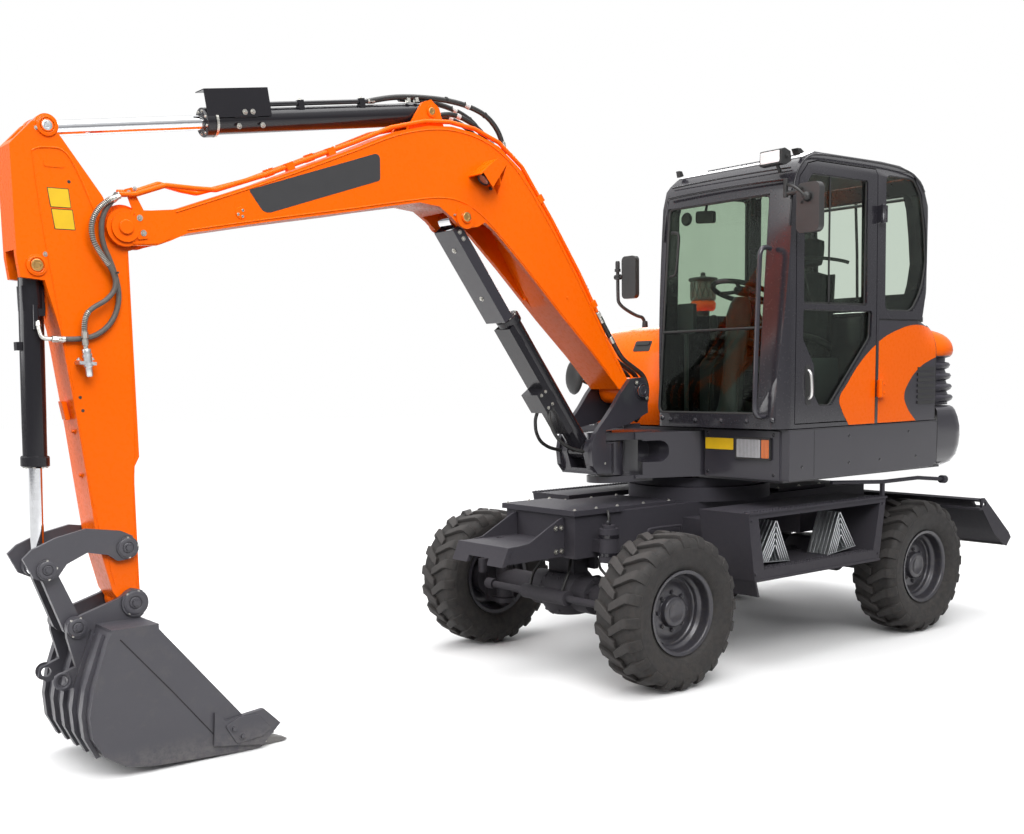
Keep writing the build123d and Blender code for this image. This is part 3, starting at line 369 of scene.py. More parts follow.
def turned(shape, profile, centre, axis=(0, 1, 0), steps=64):
    """Spins an open (radius, along) profile a full turn round an axis through a centre."""
    axis = Vector(axis).normalized()
    across = axis.orthogonal().normalized()
    points = [shape.verts.new(Vector(centre) + across * r + axis * a) for r, a in profile]
    edges = [shape.edges.new(pair) for pair in zip(points, points[1:])]
    bmesh.ops.spin(shape, geom=points + edges, cent=centre, axis=axis, dvec=(0, 0, 0), angle=2 * pi,
                   steps=steps, use_merge=True)


def lofted(shape, loops):
    """Bridges closed loops of points and caps both ends."""
    rings = []
    for loop in loops:
        points = [shape.verts.new(point) for point in loop]
        rings.append([shape.edges.new(pair) for pair in zip(points, points[1:] + points[:1])])
    for near, far in zip(rings, rings[1:]):
        bmesh.ops.bridge_loops(shape, edges=near + far)
    for ring in (rings[0], rings[-1]):
        bmesh.ops.contextual_create(shape, geom=ring)


def tyre_rubber():
    rubber = Finish("tyre_rubber", (0.02, 0.018, 0.017), 0.72)
    across = rubber.axis(0).maths("ABSOLUTE") - axle_x
    height = rubber.axis(2) - hub_z
    reach = (across * across + height * height).maths("SQRT")
    cloud = rubber.noise(9, 5, 0.65)
    colour = rubber.mix(cloud, (0.009, 0.0085, 0.0085), (0.022, 0.020, 0.019))
    dust = rubber.noise(26, 5, 0.75).above(0.5, 0.14) * rubber.axis(2).spread(0.6, 0.15)
    colour = rubber.mix(dust * 0.45, colour, (0.07, 0.056, 0.046))
    worn = reach.above(0.4135, 0.004) * rubber.noise(60, 4, 0.7).spread(0.35, 0.95)
    rubber.set("Base Color", rubber.mix(worn, colour, (0.05, 0.046, 0.044)))
    rubber.set("Roughness", rubber.noise(38, 3).spread(0.62, 0.86))
    rings = (reach * 900.0).maths("SINE") * reach.within(0.245, 0.335, 0.004)
    rubber.bump(rings * 0.35 + rubber.noise(170, 4, 0.6), 0.35, 0.0014)
    return rubber.material


def tread_bar(shape, centre, side, start):
    """One bar: it leads at the crown, kinks to run straight across, and ends down the shoulder."""
    loops = []
    # Sideways place, lead in degrees, half width, foot radius, top radius
    for y, lead, half, foot, top in ((-0.014, 9.0, 0.019, 0.396, 0.4185), (0.030, 5.6, 0.0235, 0.396, 0.4190),
                                     (0.072, 2.0, 0.0250, 0.396, 0.4185), (0.098, 0.2, 0.0255, 0.394, 0.4170),
                                     (0.122, 0.0, 0.0262, 0.385, 0.4110), (0.141, 0.0, 0.0270, 0.368, 0.3900),
                                     (0.1515, 0.0, 0.0275, 0.350, 0.3680),
                                     (0.1518, 0.0, 0.0240, 0.343, 0.3500)):
        turn = radians(start + lead)
        low, high = (half + 0.005) / foot, half / top
        inward = 0.0 if y < 0.12 else 0.012
        loop = []
        for angle, reach, tuck in ((turn - low, foot, inward), (turn - high, top, 0), (turn + high, top, 0),
                                   (turn + low, foot, inward)):
            loop.append(Vector(centre) + Vector((sin(angle) * reach, side * (y - tuck), cos(angle) * reach)))
        loops.append(loop)
    lofted(shape, loops)


def tyre(name, centre):
    casing = bmesh.new()
    wall = [(0.2165, 0.1), (0.222, 0.109), (0.232, 0.1165), (0.238, 0.1165), (0.246, 0.128), (0.266, 0.1405),
            (0.292, 0.1475), (0.318, 0.1495), (0.3355, 0.1505), (0.339, 0.1515), (0.343, 0.1515),
            (0.3465, 0.1500), (0.368, 0.1440), (0.385, 0.1310), (0.3955, 0.1120), (0.3985, 0.0500)]
    other_wall = [(r, -a) for r, a in wall[::-1]]
    turned(casing, other_wall[-1:] + wall + [(0.3990, 0.0)] + other_wall, centre, steps=80)
    for turn in range(20):
        tread_bar(casing, centre, 1, turn * 18)
        tread_bar(casing, centre, -1, turn * 18 + 9)
    made = piece(casing, name, rubber_finish, f"wheel_{name[5:]}", 0.0022, 1, 30)
    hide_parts(name)


def wheel_paint():
    paint = Finish("wheel_enamel", (0.06, 0.058, 0.072), 0.34, metallic=0.25, coat=0.3, coat_roughness=0.15)
    cloud = paint.noise(7, 4)
    colour = paint.mix(cloud, (0.028, 0.027, 0.034), (0.046, 0.044, 0.053))
    grit = paint.noise(40, 5, 0.75).above(0.56, 0.1) * 0.5
    paint.set("Base Color", paint.mix(grit, colour, (0.07, 0.062, 0.055)))
    paint.set("Roughness", paint.noise(60, 3).spread(0.28, 0.5))
    paint.bump(paint.noise(300, 2), 0.12, 0.0006)
    return paint.material


def rim(name, centre, side):
    """Rim barrel, disc, hub cap, nuts and the valve, with the dish facing out."""
    wheel = bmesh.new()
    outward = (0, side, 0)
    turned(wheel, [(0.227, 0.124), (0.2275, 0.119), (0.224, 0.1155), (0.214, 0.112), (0.2105, 0.066),
                   (0.190, 0.044), (0.190, -0.060), (0.2105, -0.084), (0.213, -0.111), (0.227, -0.116),
                   (0.227, -0.124), (0.206, -0.120), (0.203, -0.088), (0.182, -0.064), (0.182, 0.012),
                   (0.150, 0.010), (0.120, 0.022), (0.060, 0.022), (0.060, 0.036), (0.126, 0.036),
                   (0.134, 0.034), (0.152, 0.026), (0.158, 0.024), (0.176, 0.024), (0.1815, 0.030),
                   (0.1825, 0.046), (0.186, 0.053), (0.198, 0.060), (0.2005, 0.064), (0.203, 0.074),
                   (0.204, 0.096), (0.2055, 0.112), (0.209, 0.119), (0.2125, 0.1215), (0.221, 0.1225),
                   (0.227, 0.124)], centre, outward)
    turned(wheel, [(0.0, -0.018), (0.112, -0.018), (0.112, 0.020), (0.108, 0.026), (0.088, 0.035),
                   (0.084, 0.040), (0.0825, 0.060), (0.079, 0.067), (0.073, 0.070), (0.056, 0.0705),
                   (0.054, 0.069), (0.0, 0.069)], centre, outward, 56)
    for turn in range(8):
        angle = radians(45 * turn)
        foot = Vector(centre) + Vector((cos(angle) * 0.102, side * 0.030, sin(angle) * 0.102))
        turned(wheel, [(0.0, 0.024), (0.005, 0.0235), (0.0065, 0.018), (0.0105, 0.0175), (0.0125, 0.015),
                       (0.0125, 0.003), (0.016, 0.002), (0.016, -0.002), (0.0, -0.002)], foot, outward, 6)
    stem = Vector(centre) + Vector((0.118, side * 0.058, -0.158))
    turned(wheel, [(0.0, 0.052), (0.0035, 0.051), (0.0045, 0.046), (0.0045, 0.034), (0.006, 0.032),
                   (0.0075, 0.010), (0.0095, 0.0), (0.0, 0.0)], stem, (0.25, side, 0.3), 14)
    made = piece(wheel, name, wheel_finish, f"wheel_{name[4:]}", 0, crease=38)
    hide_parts(name)


rubber_finish = tyre_rubber()
wheel_finish = wheel_paint()
for corner, end, side in (("front_left", 1, 1), ("front_right", 1, -1), ("rear_left", -1, 1),
                          ("rear_right", -1, -1)):
    tyre(f"tyre_{corner}", (end * axle_x, wheel_y * side, hub_z))
    rim(f"rim_{corner}", (end * axle_x, wheel_y * side, hub_z), side)


# ---- Fasteners and fittings on the undercarriage: bolts, pipes, an accumulator's bands and brake hoses.
# Zinc and painted hexagon bolts sit on washers; the pipes are bent steel tube, the hoses black rubber.

def bolt(shape, at, facing, across=0.012, height=0.008):
    """A hexagon head on its washer."""
    turned(shape, [(0.0, height), (across * 0.42, height), (across * 0.5, height * 0.86),
                   (across * 0.5, height * 0.22)], at, facing, 6)
    turned(shape, [(across * 0.5, height * 0.22), (across * 0.78, height * 0.22),
                   (across * 0.8, height * 0.1), (across * 0.8, -0.001)], at, facing, 18)


def slab(shape, outline, low, high, across="y"):
    """A flat outline given thickness along x, y or z."""
    spots = {"x": lambda a, b, c: (c, a, b), "y": lambda a, b, c: (a, c, b), "z": lambda a, b, c: (a, b, c)}
    points = [shape.verts.new(spots[across](a, b, low)) for a, b in outline]
    face = shape.faces.new(points)
    grown = bmesh.ops.extrude_face_region(shape, geom=[face])
    moved = [item for item in grown["geom"] if isinstance(item, bmesh.types.BMVert)]
    bmesh.ops.translate(shape, verts=moved, vec=spots[across](0, 0, high - low))


def rounded(outline, radius, steps=4):
    """A closed outline with every corner cut to an arc."""
    shape = bmesh.new()
    points = [shape.verts.new((a, b, 0)) for a, b in outline]
    face = shape.faces.new(points)
    if face.normal.z < 0:
        face.normal_flip()
    bmesh.ops.bevel(shape, geom=points, offset=radius, offset_type="OFFSET", segments=steps, profile=0.5,
                    affect="VERTICES", material=-1)
    biggest = max(shape.faces, key=lambda item: item.calc_area())
    found = [(vert.co.x, vert.co.y) for vert in biggest.verts]
    shape.free()
    return found


def oblong(across, up, radius, steps=4):
    """A rectangle with rounded corners."""
    (left, right), (low, high) = across, up
    return rounded([(left, low), (right, low), (right, high), (left, high)], radius, steps)


def block(shape, x, y, z):
    slab(shape, [(x[0], y[0]), (x[1], y[0]), (x[1], y[1]), (x[0], y[1])], z[0], z[1], "z")


def line_through(points, smooth=True, steps=6):
    """A curve along a list of points, smooth or straight from point to point."""
    curve = bpy.data.curves.new("line", "CURVE")
    curve.dimensions = "3D"
    line = curve.splines.new("NURBS" if smooth else "POLY")
    line.points.add(len(points) - 1)
    for place, point in zip(line.points, points):
        place.co = (*point, 1)
    if smooth:
        line.order_u = 3
        line.use_endpoint_u = True
        line.resolution_u = steps
    return curve


def mesh_of(curve):
    """The mesh of a curve, which is cleared away."""
    holder = bpy.data.objects.new("holder", curve)
    bpy.context.scene.collection.objects.link(holder)
    bpy.context.view_layer.update()
    mesh = bpy.data.meshes.new_from_object(holder)
    bpy.data.objects.remove(holder)
    bpy.data.curves.remove(curve)
    return mesh


def add_mesh(shape, mesh):
    shape.from_mesh(mesh)
    bpy.data.meshes.remove(mesh)


def add_run(shape, points, radius, sides=10, smooth=True):
    """A round bar, pipe or hose along a line."""
    curve = line_through(points, smooth)
    curve.bevel_depth = radius
    curve.bevel_resolution = sides // 2 - 1
    curve.use_fill_caps = True
    add_mesh(shape, mesh_of(curve))


def add_shape(shape, other):
    """Moves another shape's faces into this one."""
    mesh = bpy.data.meshes.new("shape")
    other.to_mesh(mesh)
    other.free()
    add_mesh(shape, mesh)


def bright_metal(name, colour, rough, metallic=1.0):
    metal = Finish(name, colour, rough, metallic=metallic)
    cloud = metal.noise(28, 5, 0.7)
    metal.set("Base Color", metal.mix(cloud, tuple(c * 0.72 for c in colour), colour))
    metal.set("Roughness", metal.noise(55, 4, 0.6).spread(rough * 0.75, rough * 1.35))
    metal.bump(metal.noise(240, 3), 0.15, 0.0005)
    return metal.material


def black_plastic(name="black_plastic", tone=0.014, rough=0.5):
    plastic = Finish(name, (tone, tone, tone * 1.05), rough)
    plastic.set("Base Color", plastic.mix(plastic.noise(14, 3), (tone * 0.75,) * 3, (tone * 1.4,) * 3))
    plastic.set("Roughness", plastic.noise(70, 3).spread(rough - 0.08, rough + 0.12))
    plastic.bump(plastic.noise(620, 2), 0.25, 0.0005)
    return plastic.material


def hose_rubber():
    rubber = Finish("hose_rubber", (0.012, 0.012, 0.012), 0.42)
    rubber.set("Base Color", rubber.mix(rubber.noise(30, 4), (0.008, 0.008, 0.008), (0.024, 0.023, 0.022)))
    rubber.set("Roughness", rubber.noise(60, 3).spread(0.34, 0.6))
    rubber.bump(rubber.noise(500, 3), 0.2, 0.0005)
    return rubber.material


zinc = bright_metal("zinc_plate", (0.52, 0.51, 0.47), 0.36)
chrome = bright_metal("chrome_rod", (0.82, 0.83, 0.85), 0.07)
bronze = bright_metal("bronze_pin_cap", (0.55, 0.33, 0.12), 0.35)
galvanised = bright_metal("galvanised_sheet", (0.62, 0.64, 0.65), 0.34)
plastic = black_plastic()
hose_black = hose_rubber()
gloss_black = charcoal_enamel("gloss_black_enamel", 0.32, 0.0, 0.2)

deck = bmesh.new()
for x in (0.985, 1.145, 1.305):
    for y in (-0.295, 0.295):
        bolt(deck, (x, y, 0.930), (0, 0, 1), 0.014)
for x in (0.50, 0.71, 0.92, -0.50, -0.71, -0.92):
    for y in (-0.225, 0.225):
        bolt(deck, (x, y, 0.918), (0, 0, 1), 0.014)
for side in (-1, 1):
    for x in (1.335, 1.375):
        for z in (0.70, 0.83):
            bolt(deck, (x, side * 0.215, z), (0, side, 0), 0.02, 0.012)
for turn in range(28):
    angle = 2 * pi * turn / 28
    bolt(deck, (cos(angle) * 0.350, sin(angle) * 0.350, 1.0425), (0, 0, 1), 0.016)
piece(deck, "chassis_bolts", zinc, "undercarriage")

casting = bmesh.new()
for facing in (1, -1):
    x = facing * axle_x
    for turn in range(12):
        angle = radians(30 * turn)
        bolt(casting, (x + facing * 0.118, cos(angle) * 0.108, hub_z + sin(angle) * 0.108),
             (facing, 0, 0), 0.016, 0.012)
    bolt(casting, (x + facing * 0.15, 0.05, 0.39), (facing, 0, 0), 0.024, 0.012)
    for side in (-1, 1):
        for turn in range(8):
            angle = radians(45 * turn + 22)
            bolt(casting, (x + cos(angle) * 0.088, side * 0.252, hub_z + sin(angle) * 0.088),
                 (0, side, 0), 0.015, 0.01)
piece(casting, "axle_bolts", low_steel, "undercarriage")

bars = bmesh.new()
for side in (-1, 1):
    for near, far, z in ((0.52, 0.80, 0.78), (-0.80, -0.52, 0.78)):
        add_run(bars, [(near, side * 0.302, z - 0.05), (near, side * 0.345, z - 0.05), (near, side * 0.35, z),
                       (near + 0.03, side * 0.35, z + 0.005), (far - 0.03, side * 0.35, z + 0.005),
                       (far, side * 0.35, z), (far, side * 0.345, z - 0.05), (far, side * 0.302, z - 0.05)],
                0.008)
piece(bars, "chassis_pipes", low_steel, "undercarriage")

pot = bmesh.new()
for z in (0.685, 0.785):
    turned(pot, [(0.0545, z - 0.010), (0.0575, z - 0.009), (0.0575, z + 0.009), (0.0545, z + 0.010)],
           (1.15, 0.4, 0), (0, 0, 1), 40)
turned(pot, [(0.0, 0.872), (0.010, 0.870), (0.013, 0.862), (0.013, 0.846), (0.0, 0.846)],
       (1.15, 0.4, 0), (0, 0, 1), 6)
piece(pot, "accumulator_bands", gloss_black, "undercarriage")
feeds = bmesh.new()
add_run(feeds, [(1.15, 0.4, 0.868), (1.15, 0.4, 0.905), (1.13, 0.37, 0.925), (1.08, 0.32, 0.90),
                (1.05, 0.303, 0.86), (1.05, 0.303, 0.80)], 0.007)
for side in (-1, 1):
    add_run(feeds, [(1.27, side * 0.14, 0.455), (1.25, side * 0.15, 0.52), (1.20, side * 0.13, 0.58),
                    (1.16, side * 0.10, 0.66)], 0.009)
    add_run(feeds, [(1.16, side * 0.50, 0.50), (1.20, side * 0.42, 0.58), (1.18, side * 0.34, 0.62),
                    (1.12, side * 0.30, 0.67)], 0.008)
piece(feeds, "brake_hoses", hose_black, "undercarriage")


# ---- Side steps: folded boxes with saw-tooth grip edges, and galvanised chocks stowed inside.
# The teeth are pressed along the treads; the chocks lean there as two stacks of nested, ribbed V sheets.

grip = bmesh.new()
tooth_pitch = 0.026
for side in (-1, 1):
    for z, near, far in ((0.900, -0.655, 0.595), (0.580, -0.535, 0.460)):
        count = int((far - near) / tooth_pitch)
        for place in range(count):
            x = near + (far - near) * place / count
            for y in (0.912, 0.872):
                slab(grip, [(x, z), (x + 0.007, z + 0.007), (x + 0.015, z + 0.007), (x + 0.022, z)],
                     side * (y - 0.006), side * (y + 0.006))
piece(grip, "step_grip_teeth", low_steel, "undercarriage")
lips = bmesh.new()
for side in (-1, 1):
    for outline in ([(0.600, 0.904), (-0.664, 0.904), (-0.664, 0.892), (0.600, 0.892)],
                    [(0.547, 0.516), (-0.603, 0.516), (-0.603, 0.528), (0.547, 0.528)]):
        slab(lips, outline, side * 0.9195, side * 0.9275)
    for x, z in ((0.575, 0.86), (0.54, 0.56), (-0.625, 0.86), (-0.585, 0.56)):
        bolt(lips, (x, side * 0.920, z), (0, side, 0), 0.014)
piece(lips, "step_lips", low_steel, "undercarriage", 0.0015)

nested = bmesh.new()
inner_side, rib_pitch, rib, half_foot = 0.690, 0.0265, 0.021, 0.135
for x, lean in ((-0.335, 0.105), (0.285, -0.06)):
    stack = bmesh.new()
    for sheet in range(5):
        push = sheet * 0.019
        for place in range(6):
            low = inner_side + place * rib_pitch
            for slope in (-1, 1):
                slab(stack, [(slope * (half_foot - push), 0.0), (slope * (half_foot - 0.006 - push), 0.0),
                             (slope * 0.001, 0.232 - push * 1.8), (slope * 0.008, 0.236 - push * 1.8)],
                     low, low + rib)
    slab(stack, [(-half_foot, 0.0), (half_foot, 0.0), (half_foot, 0.005), (-half_foot, 0.005)],
         inner_side, 0.846)
    bmesh.ops.rotate(stack, verts=stack.verts, cent=(0, 0, 0), matrix=Matrix.Rotation(lean, 3, "Y"))
    bmesh.ops.translate(stack, verts=stack.verts, vec=(x, 0, 0.594))
    add_shape(nested, stack)
chocks = piece(nested, "nested_chocks", galvanised, "undercarriage", 0.0008, 1)
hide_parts("wheel_chocks")


# ---- Dozer blade: folded face, end plates and a bolted cutting edge, painted charcoal and worn bright below.
# The edge strip is hardened steel on square-necked bolts.

strip = bmesh.new()
slab(strip, [(-1.975, 0.4745), (-2.022, 0.520), (-2.028, 0.514), (-1.981, 0.4685)], -0.944, 0.944)
for place in range(9):
    turned(strip, [(0.0, 0.004), (0.010, 0.003), (0.013, 0.0), (0.013, -0.002)],
           (-2.004, -0.86 + place * 0.215, 0.4925), (-0.7, 0, -0.7), 12)
worn = bright_metal("worn_edge_steel", (0.19, 0.185, 0.18), 0.42)
piece(strip, "blade_cutting_edge", worn, "blade", 0.001)


# ---- Upper frame skirts and fascias: pressed covers with drop seams, button bolts, lamps and a blank plate.
# Each fascia carries a headlamp with an amber repeater; the left one has a yellow plate with nothing on it.

flank, fascia = 0.960, 0.322
seams = bmesh.new()
for side in (-1, 1):
    block(seams, (0.0885, 0.0915), (side * 0.9598, side * 0.9606), (1.075, 1.338))
    block(seams, (-1.127, -1.1235), (side * 0.9598, side * 0.9606), (1.075, 1.343))
    block(seams, (-1.12, 0.305), (side * 0.9598, side * 0.9604), (1.3385, 1.3405))
piece(seams, "skirt_seams", plastic, "upperstructure")
button = [(0.0, 0.004), (0.006, 0.0035), (0.0095, 0.001), (0.010, 0.0)]
heads = bmesh.new()
for side in (-1, 1):
    for x, z in ((-0.23, 1.135), (-0.53, 1.135), (-0.90, 1.135), (-0.23, 1.29), (-0.82, 1.29), (0.20, 1.135)):
        turned(heads, button, (x, side * flank, z), (0, side, 0), 16)
for y in (0.37, 0.86, -0.37, -0.86):
    for z in (1.09, 1.315):
        turned(heads, button, (fascia, y, z), (1, 0, 0), 16)
piece(heads, "skirt_bolts", gloss_black, "upperstructure")


def lens_finish(name, colour, tint):
    """A moulded lens with fine upright flutes."""
    lens = Finish(name, colour, 0.12, metallic=0.25, coat=1.0, coat_roughness=0.03)
    flutes = (lens.axis(1) * 620.0).maths("SINE")
    lens.set("Base Color", lens.mix(flutes.spread(0.3, 1.0) * lens.noise(40, 2).spread(0.5, 1.0),
                                    tint, colour))
    lens.bump(flutes, 0.5, 0.0012)
    return lens.material


def plain_finish(name, colour, rough, shade=0.8, scale=20.0, coat=0.0):
    finish = Finish(name, colour, rough, coat=coat)
    finish.set("Base Color", finish.mix(finish.noise(scale, 4), tuple(c * shade for c in colour), colour))
    finish.set("Roughness", finish.noise(scale * 3, 3).spread(rough * 0.8, rough * 1.25))
    finish.bump(finish.noise(scale * 20, 2), 0.15, 0.0004)
    return finish.material


clear_lens = lens_finish("lamp_lens", (0.62, 0.63, 0.64), (0.2, 0.2, 0.21))
amber_lens = lens_finish("amber_lens", (0.9, 0.22, 0.015), (0.55, 0.1, 0.005))
for side, name in ((1, "left"), (-1, "right")):
    bezel = bmesh.new()
    slab(bezel, oblong((side * 0.592, side * 0.848), (1.172, 1.298), 0.008), 0.3225, 0.336, "x")
    for y in (0.600, 0.840):
        for z in (1.178, 1.292):
            bolt(bezel, (0.336, side * y, z), (1, 0, 0), 0.006, 0.003)
    bezel_piece = piece(bezel, f"headlamp_bezel_{name}", plastic, "upperstructure", 0.0015)
    if side > 0:
        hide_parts("lamps")
    for kind, near, far, finish in (("headlamp", 0.603, 0.776, clear_lens),
                                    ("repeater", 0.784, 0.838, amber_lens)):
        glass = bmesh.new()
        slab(glass, oblong((side * near, side * far), (1.183, 1.287), 0.006), 0.335, 0.3376, "x")
        piece(glass, f"{kind}_lens_{name}", finish, "upperstructure", 0.001)

yellow = plain_finish("yellow_plate", (0.9, 0.56, 0.01), 0.35)
plate_black = plain_finish("plate_border", (0.012, 0.012, 0.012), 0.4)
border = bmesh.new()
slab(border, oblong((0.35, 0.572), (1.218, 1.292), 0.005), 0.3222, 0.3232, "x")
piece(border, "fascia_plate_border", plate_black, "upperstructure")
field = bmesh.new()
slab(field, oblong((0.354, 0.568), (1.222, 1.288), 0.004), 0.3232, 0.3238, "x")
piece(field, "fascia_plate", yellow, "upperstructure")


# ---- Quarter panel: a charcoal pressing behind the door, with the orange sweep over door and panel.
# The sweep is a thin pressed skin, parted at the door's rear gap; panel and skin roll in towards the tail.

def curved_skin(outline, thick, corners=()):
    """A flat shape with smooth edges, solid, lying in the (x, z) plane at y = 0."""
    curve = bpy.data.curves.new("skin", "CURVE")
    curve.dimensions = "2D"
    curve.fill_mode = "BOTH"
    curve.extrude = thick / 2
    curve.resolution_u = 8
    line = curve.splines.new("BEZIER")
    line.bezier_points.add(len(outline) - 1)
    line.use_cyclic_u = True
    for place, (spot, point) in enumerate(zip(line.bezier_points, outline)):
        spot.co = (point[0], point[1], 0)
        kind = "VECTOR" if place in corners else "AUTO"
        spot.handle_left_type = kind
        spot.handle_right_type = kind
    shape = bmesh.new()
    add_mesh(shape, mesh_of(curve))
    bmesh.ops.remove_doubles(shape, verts=shape.verts, dist=weld)
    bmesh.ops.rotate(shape, verts=shape.verts, cent=(0, 0, 0), matrix=Matrix.Rotation(pi / 2, 3, "X"))
    return shape


def everything(shape):
    return shape.verts[:] + shape.edges[:] + shape.faces[:]


def cut_away(shape, at, normal):
    """Keeps the side behind a plane and closes the cut."""
    cut = bmesh.ops.bisect_plane(shape, geom=everything(shape), dist=0.00001, plane_co=at, plane_no=normal,
                                 clear_outer=True)
    rim_edges = [item for item in cut["geom_cut"] if isinstance(item, bmesh.types.BMEdge)]
    bmesh.ops.contextual_create(shape, geom=rim_edges)


def rolled_in(shape):
    """Leans the panel's top edge in towards the engine, more and more towards the tail."""
    for place in range(14):
        for at, normal in (((-0.9 - place * 0.016, 0, 0), (1, 0, 0)),
                           ((0, 0, 1.75 + place * 0.0157), (0, 0, 1))):
            bmesh.ops.bisect_plane(shape, geom=everything(shape), plane_co=at, plane_no=normal)
    starts_at, length, foot, height = -0.86, 0.24, 1.76, 0.205
    for vert in shape.verts:
        share = min(max((starts_at - vert.co.x) / length, 0.0), 1.0)
        rise = max(vert.co.z - foot, 0.0) / height
        vert.co.y -= roll * share * share * (1 - (1 - min(rise, 0.995) ** 2) ** 0.5)


roll = 0.16
skin = 0.0016
sweep = [(-0.222, 1.352), (-0.155, 1.44), (-0.132, 1.50), (-0.20, 1.585), (-0.35, 1.73), (-0.53, 1.84),
         (-0.70, 1.900), (-0.86, 1.930), (-1.098, 1.917), (-1.098, 1.735), (-1.03, 1.715), (-0.93, 1.675),
         (-0.82, 1.59), (-0.772, 1.505), (-0.80, 1.44), (-0.895, 1.352)]
sharp_corners = (0, 8, 9, 15)
front_skin = curved_skin(sweep, skin, sharp_corners)
cut_away(front_skin, (-0.4685, 0, 0), (-1, 0, 0))
bmesh.ops.translate(front_skin, verts=front_skin.verts, vec=(0, 0.9607, 0))
piece(front_skin, "orange_sweep_door", orange, "door")
rear_skin = curved_skin(sweep, skin, sharp_corners)
cut_away(rear_skin, (-0.5055, 0, 0), (1, 0, 0))
bmesh.ops.translate(rear_skin, verts=rear_skin.verts, vec=(0, 0.9557, 0))
rolled_in(rear_skin)
piece(rear_skin, "orange_sweep_panel", orange, "upperstructure")
panel = bmesh.new()
slab(panel, [(-0.504, 1.35), (-0.504, 1.954), (-0.925, 1.954), (-1.0, 1.935), (-1.1, 1.92), (-1.1, 1.35)],
     0.92, 0.955)
rolled_in(panel)
panel_piece = piece(panel, "quarter_panel_pressing", steel, "upperstructure", 0.0015)
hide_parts("quarter_panel")


# ---- Tail: a pressed engine hood over a cast counterweight, both drawn round the same circular rear.
# The hood rolls over at the top and has four louvre blades in its dark skirt; the casting's waist swells.
# Lifting eyes, a latch, a filler shelf behind the cab and a rubber seal on the panel's edge go with them.

tail_reach = 1.68
hood_front, weight_front = -1.107, -1.13


def tail_ring(inset, height, front, swell=0.0):
    """The tail's plan at a height: straight sides, rounded corners and a circular rear."""
    half, reach, corner = flank - inset, tail_reach - inset + swell, 0.19
    along, across = -((reach - corner) ** 2 - (half - corner) ** 2) ** 0.5, half - corner
    turn = atan2(across, along)
    side = [(front, half)]
    for step in range(9):
        angle = pi / 2 + (turn - pi / 2) * step / 8
        side.append((along + corner * cos(angle), across + corner * sin(angle)))
    for step in range(1, 9):
        angle = turn + (pi - turn) * step / 8
        side.append((reach * cos(angle), reach * sin(angle)))
    return [(x, y, height) for x, y in side] + [(x, -y, height) for x, y in side[-2::-1]]


def tail_shell(shape, rings):
    """Joins rings of the tail's plan into an open skin, with a lid over the last."""
    rows = [[shape.verts.new(point) for point in ring] for ring in rings]
    for low, high in zip(rows, rows[1:]):
        for place in range(len(low) - 1):
            shape.faces.new((low[place], low[place + 1], high[place + 1], high[place]))
    shape.faces.new(rows[-1])


def hood_paint():
    """Orange over the top of the hood, charcoal round its louvred skirt."""
    paint = Finish("hood_two_tone_enamel", (1, 0.1, 0), 0.26, coat=0.08, coat_roughness=0.1)
    paint.set("Specular IOR Level", 0.12)
    height = paint.axis(2)
    orange_tone = paint.mix(paint.noise(1.6, 4), *orange_tones)
    dark_tone = paint.mix(paint.noise(2.2, 4), *charcoal_tones)
    paint.set("Base Color", paint.mix(height.above(1.742, 0.0008), dark_tone, orange_tone))
    paint.set("Roughness", paint.noise(45, 2).spread(0.24, 0.36))
    paint.bump(height.within(1.740, 1.746, 0.001) * -1.0 + paint.noise(260, 2) * 0.05, 0.6, 0.002)
    return paint.material


def sheet_wall(made):
    """Gives an open skin the thickness of its sheet, inwards."""
    wall = made.modifiers.new("wall", "SOLIDIFY")
    wall.thickness = 0.012
    wall.offset = -1


dress("louvre_panels", plastic, 0.002)
blade_pitch = 0.068
blade_form = (0.0, 0.0), (0.012, -0.02), (0.030, -0.028), (0.044, -0.02), (0.050, 0.0)
hood_rings = [tail_ring(0.045, 1.438, hood_front)]
for row in range(4):
    foot = 1.452 + row * blade_pitch
    hood_rings += [tail_ring(0.045 + row * 0.006 + tuck, foot + rise, hood_front)
                   for rise, tuck in blade_form]
hood_rings += [tail_ring(inset, height, hood_front) for inset, height in (
    (0.062, 1.728), (0.036, 1.738), (0.026, 1.752))]
for step in range(11):
    angle = pi / 2 * step / 10
    hood_rings.append(tail_ring(0.022 + roll * (1 - cos(angle)), 1.775 + 0.143 * sin(angle), hood_front,
                                -roll * (1 - cos(angle)) ** 2))
hood = bmesh.new()
tail_shell(hood, hood_rings)
hood_piece = piece(hood, "hood_shell", hood_paint(), "hood", crease=50)
sheet_wall(hood_piece)
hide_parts("engine_hood")
latch = bmesh.new()
slab(latch, oblong((-0.07, 0.07), (1.60, 1.66), 0.012), -1.640, -1.612, "x")
piece(latch, "hood_latch", plastic, "hood", 0.002)

